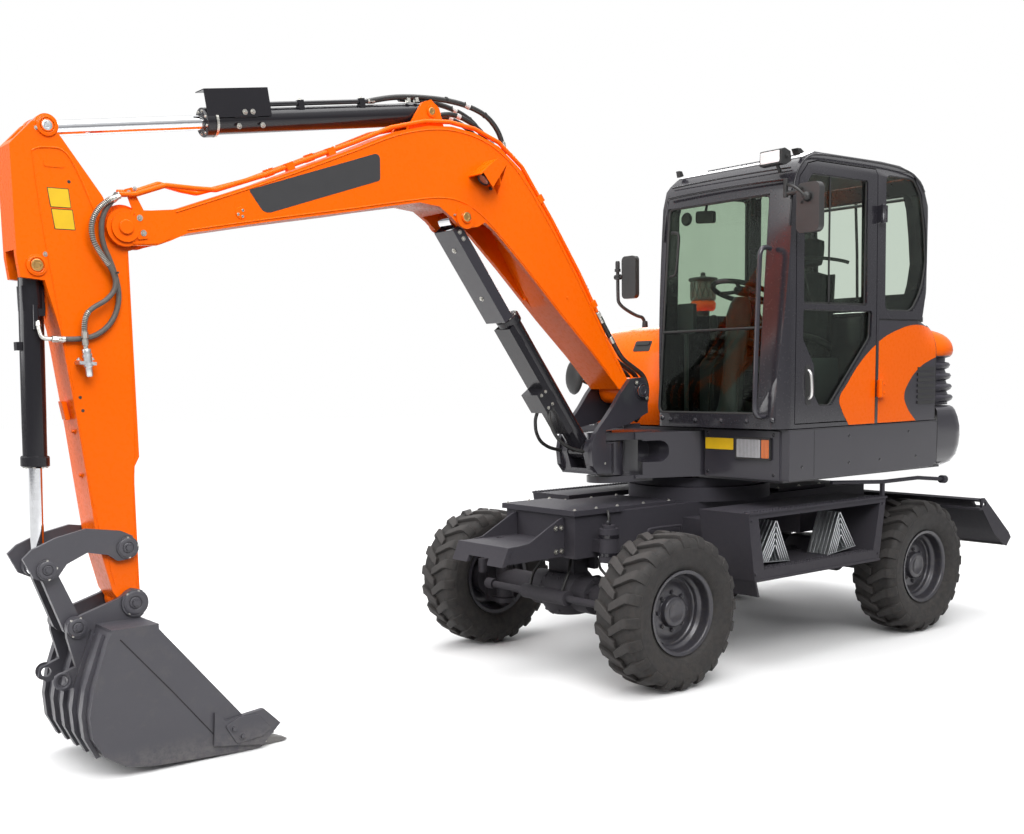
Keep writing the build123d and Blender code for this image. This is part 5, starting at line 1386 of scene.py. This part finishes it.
for side in (-1, 1):
    for seam in (under_seam, upper_seam):
        add_run(boom_seams, [(x, side * 0.1195, z) for x, z in seam], 0.0042, 8)
    slab(boom_castings, rounded([(3.655, 2.404), (3.500, 2.410), (3.470, 2.395), (3.470, 2.300),
                                 (3.530, 2.268), (3.655, 2.262)], 0.010), side * 0.1190, side * 0.1235)
    slab(boom_castings, rounded([(3.641, 2.394), (3.592, 2.398), (3.582, 2.288), (3.630, 2.280)], 0.008),
         side * 0.1190, side * 0.1300)
    turned(boom_castings, [(0.0, 0.0095), (0.028, 0.0095), (0.031, 0.007), (0.033, -0.001)],
           (3.68, side * 0.132, 2.33), (0, side, 0), 40)
    turned(boom_castings, [(0.0, 0.003), (0.026, 0.003), (0.028, -0.001)], (3.140, side * 0.120, 2.425),
           (0, side, 0), 28)
    for x, z in ((3.155, 2.418), (3.133, 2.410), (3.131, 2.437)):
        turned(boom_bolts, [(0.0, 0.0015), (0.0035, 0.0015), (0.004, 0.0045), (0.0062, 0.004),
                            (0.0065, 0.002)], (x, side * 0.1215, z), (0, side, 0), 12)
    for x, z in ((3.618, 2.372), (3.604, 2.309)):
        bolt(boom_bolts, (x, side * 0.130, z), (0, side, 0), 0.017, 0.010)
    nipple(boom_bolts, (1.949, side * 0.1195, 2.492), side)
    turned(boom_castings, [(0.0, 0.003), (0.006, 0.003), (0.009, 0.0), (0.009, -0.001)],
           (1.187, side * 0.120, 2.092), (0, side, 0), 16)
    for x, z, lean in ((1.04, 2.142, 0.99), (1.556, 2.812, 0.64), (2.636, 2.746, -0.38),
                       (2.862, 2.656, -0.38)):
        away = Vector((-sin(lean), 0, cos(lean)))
        for step in (-0.011, 0.011):
            foot = Vector((x, side * 0.103, z)) + away * 0.0165 + Vector((cos(lean), 0, sin(lean))) * step
            bolt(boom_bolts, foot, away, 0.010, 0.008)
for x, z in ((3.628, 2.494), (3.655, 2.478)):
    bolt(boom_bolts, (x, 0.1165, z), (0, 1, 0), 0.012, 0.008)
pin_end(boom_caps, boom_rod_pin, 0.136, 0.024, 0.0, 0.005)
pin_end(boom_castings, boom_rod_pin, 0.136, 0.0255, 0.0315, 0.0035)
pin_end(boom_caps, arm_base_pin, 0.0875, 0.018, 0.0, 0.004)
piece(boom_castings, "boom_castings", orange, "boom", 0.0012)
piece(boom_seams, "boom_weld_seams", orange, "boom", crease=70)
piece(boom_bolts, "boom_bolts", zinc, "boom")
piece(boom_caps, "boom_pin_caps", bronze, "boom")

panel_grey = plain_finish("boom_panel_charcoal", (0.036, 0.036, 0.038), 0.38, 0.85, 12.0, 0.2)
for side, name in ((1, "left"), (-1, "right")):
    panel = bmesh.new()
    slab(panel, rounded([(3.096, 2.530), (2.408, 2.755), (2.388, 2.742), (2.390, 2.628), (2.998, 2.434),
                         (3.030, 2.440)], 0.012), side * 0.1200, side * 0.1208)
    piece(panel, f"boom_side_panel_{name}", panel_grey, "boom")

guard = bmesh.new()
lofted(guard, [[(1.745, 0.119, 2.773), (1.668, 0.119, 2.613), (1.664, 0.119, 2.616), (1.741, 0.119, 2.777)],
               [(1.745, 0.221, 2.773), (1.682, 0.221, 2.747), (1.679, 0.221, 2.751), (1.741, 0.221, 2.777)]])
slab(guard, [(1.744, 2.775), (1.836, 2.704), (1.772, 2.630), (1.683, 2.748)], 0.2175, 0.2210)
piece(guard, "boom_lamp_guard", orange, "boom", 0.001)
lens = bmesh.new()
aim = (0.74, 0.0, -0.67)
turned(lens, [(0.0, 0.006), (0.020, 0.005), (0.029, 0.002), (0.030, -0.002)], (1.793, 0.168, 2.675), aim, 28)
piece(lens, "boom_lamp_lens", clear_lens, "boom")
bezel = bmesh.new()
turned(bezel, [(0.0295, 0.002), (0.031, 0.006), (0.0345, 0.006), (0.036, 0.002), (0.036, -0.014),
               (0.033, -0.040), (0.020, -0.058), (0.0, -0.060)], (1.793, 0.168, 2.675), aim, 28)
bolt(bezel, (1.722, 0.135, 2.640), (0.6, 0.0, -0.7), 0.014, 0.008)
piece(bezel, "boom_lamp_housing", plastic, "boom")


# ---- Hoses over the bend: black rubber hoses with crimped ends, from the boom's pipes to the arm cylinder.
# White sleeves and black ties hold them in pairs.

def crimp(shape, at, along, radius, length):
    """A hose end: rolled ferrule and hexagon nut."""
    turned(shape, [(0.0, -0.001), (radius * 0.9, -0.001), (radius * 1.12, 0.002),
                   (radius * 1.16, length * 0.22), (radius * 1.08, length * 0.26),
                   (radius * 1.16, length * 0.30), (radius * 1.12, length * 0.55),
                   (radius * 0.8, length * 0.58), (0.0, length * 0.58)], at, along, 20)
    turned(shape, [(0.0, length * 0.56), (radius * 1.25, length * 0.57), (radius * 1.25, length * 0.96),
                   (radius * 1.1, length), (0.0, length)], at, along, 6)


def sleeve(shape, at, along, radius, length):
    turned(shape, [(radius, -length / 2), (radius * 1.1, -length / 2), (radius * 1.1, length / 2),
                   (radius, length / 2)], at, along, 20)


over = bmesh.new()
ends = bmesh.new()
sleeves = bmesh.new()
ties = bmesh.new()
for side in (-1, 1):
    start = [(2.384, 0.030 * side, 3.019), (2.290, 0.030 * side, 3.046), (2.170, 0.030 * side, 3.066)]
    long_run = [(2.054, 0.032 * side, 3.075), (1.939, 0.045 * side, 3.076), (1.811, 0.058 * side, 3.062),
                (1.692, 0.068 * side, 3.024), (1.622, 0.070 * side, 2.962), (1.588, 0.070 * side, 2.895),
                (1.572, 0.070 * side, 2.835)]
    add_run(over, (start if side > 0 else start[2:]) + long_run, 0.0135, 12)
    add_run(over, [(1.988, 0.036 * side, 2.992), (1.925, 0.036 * side, 3.010), (1.852, 0.036 * side, 3.008),
                   (1.765, 0.036 * side, 2.982), (1.690, 0.036 * side, 2.938), (1.640, 0.036 * side, 2.890)],
            0.0125, 12)
    crimp(ends, (1.588, 0.070 * side, 2.898), (-0.25, 0, -0.97), 0.0135, 0.060)
    crimp(ends, (1.665, 0.036 * side, 2.916), (-0.72, 0, -0.70), 0.0125, 0.050)
    sleeve(sleeves, (1.808, 0.058 * side, 3.0595), (0.95, 0, 0.30), 0.0139, 0.030)
    sleeve(sleeves, (1.850, 0.036 * side, 3.0055), (0.95, 0, 0.28), 0.0129, 0.026)
    sleeve(ties, (1.700, 0.0675 * side, 3.022), (0.80, 0, 0.60), 0.0140, 0.012)
    sleeve(ties, (1.930, 0.0455 * side, 3.0765), (1, 0, 0), 0.0140, 0.010)
    sleeve(ties, (1.745, 0.036 * side, 2.973), (0.85, 0, 0.50), 0.0130, 0.010)
looped = piece(over, "bend_hoses", hose_black, "boom", crease=60)
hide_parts("arm_cylinder_hoses")
piece(ends, "bend_hose_ends", zinc, "boom")
piece(sleeves, "bend_hose_sleeves", plain_finish("white_sleeve", (0.75, 0.75, 0.73), 0.5), "boom")
piece(ties, "bend_hose_ties", plastic, "boom")


# ---- Arm: a tapered orange box with pressed ribs, folded seams and two blank yellow plates a side.
# The plates have thin black borders and nothing on them.

arm_castings = bmesh.new()
arm_bolts = bmesh.new()
arm_caps = bmesh.new()
arm_holes = bmesh.new()
for side in (-1, 1):
    skin = side * 0.0875
    add_run(arm_castings, [(4.040, skin, 2.618), (4.032, skin, 2.633), (3.950, skin, 2.641),
                           (3.915, skin, 2.635), (3.886, skin, 2.605), (3.849, skin, 2.531),
                           (3.800, skin, 2.400), (3.771, skin, 2.330)], 0.0045, 8)
    add_run(arm_castings, [(4.040, skin, 2.618), (4.023, skin, 2.367), (3.986, skin, 2.087),
                           (3.949, skin, 1.79), (3.919, skin, 1.531), (3.868, skin, 1.080),
                           (3.800, skin, 0.80)], 0.0035, 8)
    add_run(arm_castings, [(3.668, skin, 2.22), (3.668, skin, 1.352), (3.696, skin, 1.302),
                           (3.700, skin, 0.78)], 0.0032, 8)
    slab(arm_castings, oblong((3.996, 3.914), (2.590, 2.560), 0.008),
         side * 0.087, side * 0.0905)
    for x, z in ((3.897, 2.506), (3.903, 1.615), (3.895, 1.559)):
        turned(arm_holes, [(0.0, 0.0008), (0.0065, 0.0008), (0.0075, -0.0005)], (x, side * 0.088, z),
               (0, side, 0), 16)
    bolt(arm_bolts, (4.016, side * 0.088, 2.712), (0, side, 0), 0.012, 0.008)
    bolt(arm_bolts, (4.012, side * 0.088, 2.206), (0, side, 0), 0.013, 0.008)
pin_end(arm_castings, arm_rod_pin, 0.0955, 0.0265, 0.036, 0.003)
pin_end(arm_caps, arm_rod_pin, 0.0955, 0.022, 0.0, 0.0035)
pin_end(arm_castings, bucket_base_pin, 0.0955, 0.0265, 0.037, 0.004)
for side in (-1, 1):
    for x, z in (arm_rod_pin, bucket_base_pin):
        turned(arm_castings, [(0.036, -0.008), (0.036, 0.001), (0.043, 0.0), (0.045, -0.008)],
               (x, side * 0.096, z), (0, side, 0), 36)
pressure_cap = bmesh.new()
pin_end(pressure_cap, bucket_base_pin, 0.0955, 0.0245, 0.0, 0.006)
piece(pressure_cap, "bucket_cylinder_pin_caps", bronze, "arm")
for z in (1.47, 1.28):
    bolt(arm_castings, (3.918 - (1.50 - z) * 0.108, 0.03, z), (1, 0, 0.1), 0.016, 0.014)
slab(arm_castings, rounded([(3.940, 1.600), (3.962, 1.600), (3.948, 1.520), (3.926, 1.520)], 0.004),
     -0.02, 0.02)
piece(arm_castings, "arm_castings", orange, "arm", crease=60)
piece(arm_bolts, "arm_bolts", zinc, "arm")
piece(arm_caps, "arm_pin_caps", galvanised, "arm")
piece(arm_holes, "arm_plug_holes", plastic, "arm")
for side, name in ((1, "left"), (-1, "right")):
    borders = bmesh.new()
    fields = bmesh.new()
    for low, high, push in ((2.398, 2.478, 0.0), (2.309, 2.393, 0.012)):
        corners = [(3.990 - push, high), (3.900 - push, high), (3.893 - push, low), (3.980 - push, low)]
        slab(borders, rounded(corners, 0.003), side * 0.0880, side * 0.0886)
        inner = [(3.987 - push, high - 0.003), (3.903 - push, high - 0.003), (3.896 - push, low + 0.003),
                 (3.977 - push, low + 0.003)]
        slab(fields, rounded(inner, 0.002), side * 0.0886, side * 0.0890)
    piece(borders, f"arm_plate_border_{name}", plate_black, "arm")
    piece(fields, f"arm_plate_{name}", yellow, "arm")


# ---- Arm hoses: two weathered rubber hoses down the left side, one in a spring guard, to the coupler.
# Crimped zinc ends, a black tie where they cross, and a galvanised quick coupler.

def weathered_rubber():
    rubber = Finish("weathered_hose", (0.09, 0.08, 0.07), 0.5)
    rubber.set("Base Color", rubber.mix(rubber.noise(40, 5, 0.7), (0.045, 0.040, 0.036), (0.15, 0.135, 0.12)))
    rubber.set("Roughness", rubber.noise(60, 3).spread(0.4, 0.62))
    rubber.bump(rubber.noise(300, 3), 0.2, 0.0005)
    return rubber.material


pair = bmesh.new()
smooth_run = [(3.706, 0.112, 2.468), (3.735, 0.118, 2.430), (3.765, 0.118, 2.395), (3.782, 0.114, 2.336),
              (3.778, 0.108, 2.259), (3.744, 0.106, 2.182), (3.720, 0.106, 2.094), (3.718, 0.106, 2.015),
              (3.752, 0.106, 1.932), (3.815, 0.106, 1.878), (3.880, 0.106, 1.860), (3.960, 0.104, 1.858),
              (4.010, 0.094, 1.860)]
guarded_run = [(3.706, 0.134, 2.462), (3.752, 0.138, 2.436), (3.800, 0.140, 2.400), (3.832, 0.138, 2.340),
               (3.830, 0.134, 2.268), (3.790, 0.134, 2.203), (3.746, 0.134, 2.140), (3.738, 0.134, 2.075),
               (3.780, 0.134, 2.022), (3.845, 0.135, 1.990), (3.884, 0.136, 1.950), (3.886, 0.136, 1.890)]
add_run(pair, smooth_run, 0.0115, 12)
add_run(pair, guarded_run, 0.0105, 12)
hoses = piece(pair, "arm_hose_pair", weathered_rubber(), "arm", crease=60)
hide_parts("arm_hoses")
traced = mesh_of(line_through(guarded_run, steps=22))
places = [vert.co.copy() for vert in traced.vertices]
bpy.data.meshes.remove(traced)
coil = bmesh.new()
coil_pitch = 0.0062
gone = 0.0
for near, far in zip(places, places[1:]):
    gone += (far - near).length
    if gone > coil_pitch and (far.z < 1.97 or 2.17 < far.z < 2.44):
        turned(coil, [(0.0105, -0.0018), (0.0128, -0.0012), (0.0128, 0.0012), (0.0105, 0.0018)], far,
               far - near, 14)
        gone = 0.0
piece(coil, "hose_spring_guard", zinc, "arm", crease=60)
fittings = bmesh.new()
crimp(fittings, (3.728, 0.117, 2.438), (-0.75, -0.05, 0.66), 0.0115, 0.046)
crimp(fittings, (3.748, 0.138, 2.438), (-0.92, -0.05, 0.40), 0.0105, 0.050)
crimp(fittings, (3.955, 0.104, 1.858), (1, -0.10, 0.03), 0.0115, 0.055)
add_run(fittings, [(4.005, 0.098, 1.860), (4.034, 0.092, 1.860), (4.048, 0.088, 1.868), (4.052, 0.080, 1.890),
                   (4.053, 0.070, 1.915)], 0.0085, 10)
turned(fittings, [(0.0, 0.0), (0.013, 0.001), (0.013, 0.022), (0.0, 0.023)], (4.053, 0.068, 1.912),
       (0, -0.4, 1), 6)
turned(fittings, [(0.0, 0.0), (0.0125, 0.001), (0.0125, 0.026), (0.010, 0.028), (0.010, 0.034),
                  (0.014, 0.036), (0.014, 0.058), (0.010, 0.062), (0.010, 0.075), (0.0, 0.075)],
       (3.886, 0.136, 1.892), (-0.03, 0, -1), 14)
turned(fittings, [(0.0, 0.0), (0.0145, 0.001), (0.0145, 0.024), (0.0, 0.026)],
       (3.885, 0.136, 1.862), (0, 0, 1), 6)
piece(fittings, "arm_hose_ends", zinc, "arm")
coupler = bmesh.new()
turned(coupler, [(0.0, 0.0), (0.017, 0.001), (0.0185, 0.004), (0.0185, 0.016), (0.0165, 0.018),
                 (0.0165, 0.024), (0.020, 0.026), (0.020, 0.036), (0.0165, 0.038), (0.0165, 0.062),
                 (0.019, 0.064), (0.019, 0.074), (0.0145, 0.080), (0.0145, 0.112), (0.012, 0.116),
                 (0.0, 0.116)], (3.882, 0.136, 1.818), (-0.07, 0, -1), 28)
slab(coupler, rounded([(3.846, 1.748), (3.918, 1.754), (3.918, 1.768), (3.846, 1.762)], 0.003), 0.088, 0.150)
slab(coupler, rounded([(3.846, 1.748), (3.860, 1.749), (3.860, 1.800), (3.846, 1.800)], 0.004), 0.088, 0.100)
for x in (3.852, 3.912):
    bolt(coupler, (x, 0.120, 1.772), (0, 0, 1), 0.012, 0.008)
piece(coupler, "quick_coupler", galvanised, "arm")
knot = bmesh.new()
turned(knot, [(0.024, -0.004), (0.0262, -0.003), (0.0262, 0.003), (0.024, 0.004)], (3.735, 0.120, 2.135),
       (0.2, 0, 1), 20)
bmesh.ops.scale(knot, verts=knot.verts, vec=(0.62, 1, 1), space=Matrix.Translation((-3.735, -0.120, -2.135)))
piece(knot, "arm_hose_tie", plastic, "arm")


# ---- Cylinders: gloss black barrels with bolted heads, chromed rods, and folded guards in charcoal.
# Rods are ground bright; pipes, clamps and ports sit along the barrels.

for node in ("boom_cylinder", "arm_cylinder", "bucket_cylinder", "blade_cylinder"):
    dress(node, gloss_black, 0.0015)
for node in ("boom_rod", "arm_rod", "bucket_rod", "blade_rod"):
    dress(node, chrome, 0.0015)


def along_pins(base, tip, distance, out=0.0, y=0.0):
    """A place beside a cylinder: a distance up from its base pin and out from its axis."""
    run = (Vector((tip[0], 0, tip[1])) - Vector((base[0], 0, base[1]))).normalized()
    across = Vector((run.z, 0, -run.x))
    return Vector((base[0], y, base[1])) + run * distance + across * out


def cylinder_head(shape, nuts, base, tip, at, radius):
    """A screwed gland with a ring of socket bolts and a wiper lip."""
    run = (Vector((tip[0], 0, tip[1])) - Vector((base[0], 0, base[1]))).normalized()
    spot = along_pins(base, tip, at)
    turned(shape, [(radius + 0.0065, -0.042), (radius + 0.0095, -0.040), (radius + 0.0095, -0.003),
                   (radius + 0.006, 0.0), (radius - 0.012, 0.001), (radius - 0.016, 0.006),
                   (radius - 0.021, 0.007), (radius - 0.0235, 0.006), (radius - 0.0235, 0.0)], spot, run, 48)
    side = Vector((0, 1, 0))
    for turn in range(8):
        angle = radians(45 * turn + 22.5)
        out = side * cos(angle) + run.cross(side) * sin(angle)
        bolt(nuts, spot + out * (radius - 0.004), run, 0.010, 0.006)


boom_pins = ((0.985, 1.235), boom_rod_pin)
arm_pins = (arm_base_pin, arm_rod_pin)
bucket_pins = (bucket_base_pin, (4.095, 0.90))
for name, pins, at, radius, body in (("boom", boom_pins, 0.925, 0.058, "boom_barrel"),
                                     ("arm", arm_pins, 1.215, 0.055, "arm_barrel"),
                                     ("bucket", bucket_pins, 0.832, 0.050, "bucket_barrel")):
    gland = bmesh.new()
    nuts = bmesh.new()
    cylinder_head(gland, nuts, *pins, at, radius)
    if name == "arm":
        for distance in (0.945, 0.985, 1.025, 1.065):
            spot = along_pins(*pins, distance, -0.03 if distance in (0.985, 1.025) else 0.03, 0.062)
            bolt(nuts, spot, (0, 1, 0), 0.016, 0.010)
        run = Vector((0.98995, 0, -0.14142))
        turned(nuts, [(0.0625, -0.006), (0.0655, -0.006), (0.0655, 0.006), (0.0625, 0.006)],
               along_pins(*pins, 1.165), run, 40)
        for distance in (0.375, 0.715, 1.135):
            bolt(nuts, along_pins(*pins, distance, -0.080, 0.030), (0.14142, 0, 0.98995), 0.014, 0.008)
        turned(nuts, [(0.0, 0.0), (0.014, 0.001), (0.014, 0.040), (0.0, 0.041)],
               along_pins(*pins, 0.300, -0.066, 0.030), run, 6)
        for distance in (0.05, 0.10):
            turned(nuts, [(0.0, 0.0), (0.016, 0.001), (0.016, 0.022), (0.0, 0.023)],
                   along_pins(*pins, distance, -0.052, 0.036), (0.14142, 0, 0.98995), 6)
    if name == "bucket":
        run = Vector((0.03569, 0, -0.99936))
        for y in (0.030, -0.030):
            spot = along_pins(*pins, 0.11, 0.0, y)
            slab(gland, [(spot.x - 0.045, spot.z - 0.07), (spot.x + 0.045, spot.z - 0.07),
                         (spot.x + 0.045, spot.z + 0.03), (spot.x - 0.045, spot.z + 0.03)],
                 y - 0.006, y + 0.006)
        add_run(gland, [along_pins(*pins, distance, 0.0, y)
                        for distance, y in ((0.16, 0.058), (0.24, 0.060), (0.26, 0.060))], 0.012, 10)
        block(gland, (4.084, 4.130), (-0.02, 0.02), (1.815, 1.850))
        block(gland, (4.020, 4.060), (0.040, 0.066), (1.955, 1.985))
    piece(gland, f"{name}_cylinder_head", gloss_black, body, crease=40)
    piece(nuts, f"{name}_cylinder_nuts", zinc, body)

guard_bolts = bmesh.new()
for side in (-1, 1):
    for distance in (1.485, 1.445):
        spot = along_pins(*boom_pins, distance, 0.050, side * 0.084)
        bolt(guard_bolts, spot, (0, side, 0), 0.016, 0.009)
for distance in (1.40, 1.10):
    bolt(guard_bolts, along_pins(*boom_pins, distance, 0.082, 0.0), (0.813, 0, -0.582), 0.018, 0.009)
piece(guard_bolts, "rod_guard_bolts", zinc, "boom_ram")
valve_bolts = bmesh.new()
for distance, out in ((0.385, 0.045), (0.385, -0.045), (0.470, 0.045), (0.470, -0.045)):
    for side in (-1, 1):
        bolt(valve_bolts, along_pins(*boom_pins, distance, 0.085 + out * 0.4, side * 0.070),
             (0, side, 0), 0.012, 0.008)
piece(valve_bolts, "valve_block_bolts", zinc, "boom_barrel")


# ---- Swing post and its hoses: a charcoal casting with keeper plates at the boom foot and crimped hose ends.
# The hoses rise behind the casting and meet the boom's pipes in screwed unions.

dress("post_hoses", hose_black)
post_fittings = bmesh.new()
post_nuts = bmesh.new()
pin_end(post_fittings, (0.66, 1.57), 0.178, 0.030, 0.042, 0.006)
for side in (-1, 1):
    bolt(post_nuts, (0.700, side * 0.165, 1.615), (0, side, 0), 0.016, 0.009)
    bolt(post_nuts, (0.618, side * 0.165, 1.525), (0, side, 0), 0.016, 0.009)
    turned(post_fittings, [(0.0, 0.004), (0.024, 0.004), (0.027, -0.001)], (0.985, side * 0.148, 1.20),
           (0, side, 0), 28)
    bolt(post_nuts, (0.945, side * 0.148, 1.160), (0, side, 0), 0.014, 0.008)
piece(post_fittings, "swing_post_caps", steel, "swing_post")
piece(post_nuts, "swing_post_bolts", zinc, "swing_post")
unions = bmesh.new()
for y in (-0.104, -0.036, 0.036, 0.104):
    crimp(unions, (0.912, y, 1.960), (0.585, 0, 0.811), 0.0145, 0.070)
    turned(unions, [(0.0146, -0.022), (0.0162, -0.020), (0.0162, 0.020), (0.0146, 0.022)], (0.842, y, 1.863),
           (0.593, 0, 0.805), 18)
piece(unions, "post_hose_unions", zinc, "swing_post")


# ---- Bucket and linkage: plate steel in worn charcoal, with hard pins, bolted cutters and cast teeth.
# Edges that scrape the ground are rubbed bright; the side plates have a folded seam.

def bucket_enamel():
    paint = Finish("bucket_enamel", (0.05, 0.05, 0.058), 0.42, coat=0.12, coat_roughness=0.3)
    colour = paint.mix(paint.noise(2.6, 5), (0.046, 0.044, 0.054), (0.072, 0.070, 0.080))
    rub = paint.axis(2).below(0.09, 0.06) * paint.noise(24, 6, 0.75).above(0.50, 0.16)
    colour = paint.mix(rub * 0.6, colour, (0.17, 0.16, 0.155))
    grit = paint.noise(11, 5, 0.7).above(0.60, 0.10) * 0.25
    paint.set("Base Color", paint.mix(grit, colour, (0.10, 0.095, 0.09)))
    paint.set("Roughness", paint.noise(48, 3).spread(0.36, 0.56))
    paint.bump(paint.noise(320, 3), 0.15, 0.0006)
    return paint.material


bucket_paint = bucket_enamel()
dress("bucket", bucket_paint, 0.003)
dress("bucket_link", bucket_paint, 0.004)
dress("rockers", bucket_paint, 0.004)
dress("bucket_teeth", worn, 0.002)
for name, body, head, grease_angles, pins in (
        ("bucket", "bucket", 0.013, (0.9, 1.9, -1.0),
         (((3.73, 0.715), 0.132, 0.052, 0.026), ((3.985, 0.64), 0.132, 0.040, 0.022))),
        ("rocker", "rockers", 0.012, (1.6, -1.7, 3.0),
         (((3.745, 0.96), 0.122, 0.042, 0.022), ((4.095, 0.90), 0.126, 0.038, 0.020)))):
    linkage = bmesh.new()
    spots = bmesh.new()
    for (x, z), y, ring, cap in pins:
        pin_end(linkage, (x, z), y, cap, ring, 0.006)
        for side in (-1, 1):
            turned(linkage, [(0.0, head), (cap * 0.6, head - 0.001), (cap * 0.66, 0.004)], (x, side * y, z),
                   (0, side, 0), 6)
            for angle in grease_angles:
                out = ring * 1.02
                turned(spots, [(0.0, 0.009), (0.005, 0.008), (0.007, 0.002), (0.007, 0.0)],
                       (x + cos(angle) * out, side * (y - 0.006), z + sin(angle) * out), (0, side, 0), 10)
    piece(linkage, f"{name}_pins", bucket_paint, body, crease=40)
    piece(spots, f"{name}_grease_points", zinc, body)
folds = bmesh.new()
cheeks = bmesh.new()
for side in (-1, 1):
    add_run(folds, [(3.872, side * 0.3095, 0.600), (3.650, side * 0.3095, 0.333),
                    (3.436, side * 0.3095, 0.062)], 0.003, 8, False)
    slab(cheeks, rounded([(3.425, 0.142), (3.350, 0.170), (3.262, 0.166), (3.200, 0.092), (3.240, 0.062),
                          (3.372, 0.050)], 0.010), side * 0.3235, side * 0.3295)
    for x, z in ((3.385, 0.122), (3.345, 0.080)):
        bolt(cheeks, (x, side * 0.3295, z), (0, side, 0), 0.022, 0.012)
    turned(cheeks, [(0.0265, -0.001), (0.0265, 0.004), (0.030, 0.006), (0.036, 0.006), (0.040, 0.002),
                    (0.040, -0.001)], (4.060, side * 0.120, 0.418), (0, side, 0), 32)
piece(folds, "bucket_fold_lines", gloss_black, "bucket", crease=60)
piece(cheeks, "bucket_cutters", bucket_paint, "bucket", 0.002)
tooth_pins = bmesh.new()
for place in range(5):
    y = -0.256 + place * 0.128
    block(tooth_pins, (3.205, 3.222), (y - 0.0300, y + 0.0300), (0.016, 0.030))
piece(tooth_pins, "tooth_pins", zinc, "bucket", 0.001)


# ---- Engine block: one dark casting under the hood, seen only with the hood up.
# It is painted cast iron, oily and rough.

iron = Finish("cast_iron", (0.05, 0.05, 0.048), 0.6, metallic=0.3)
iron.set("Base Color", iron.mix(iron.noise(9, 5, 0.7), (0.03, 0.03, 0.028), (0.085, 0.08, 0.072)))
iron.set("Roughness", iron.noise(30, 4).spread(0.4, 0.7))
iron.bump(iron.noise(140, 4), 0.4, 0.001)
dress("engine_block", iron.material, 0.006)
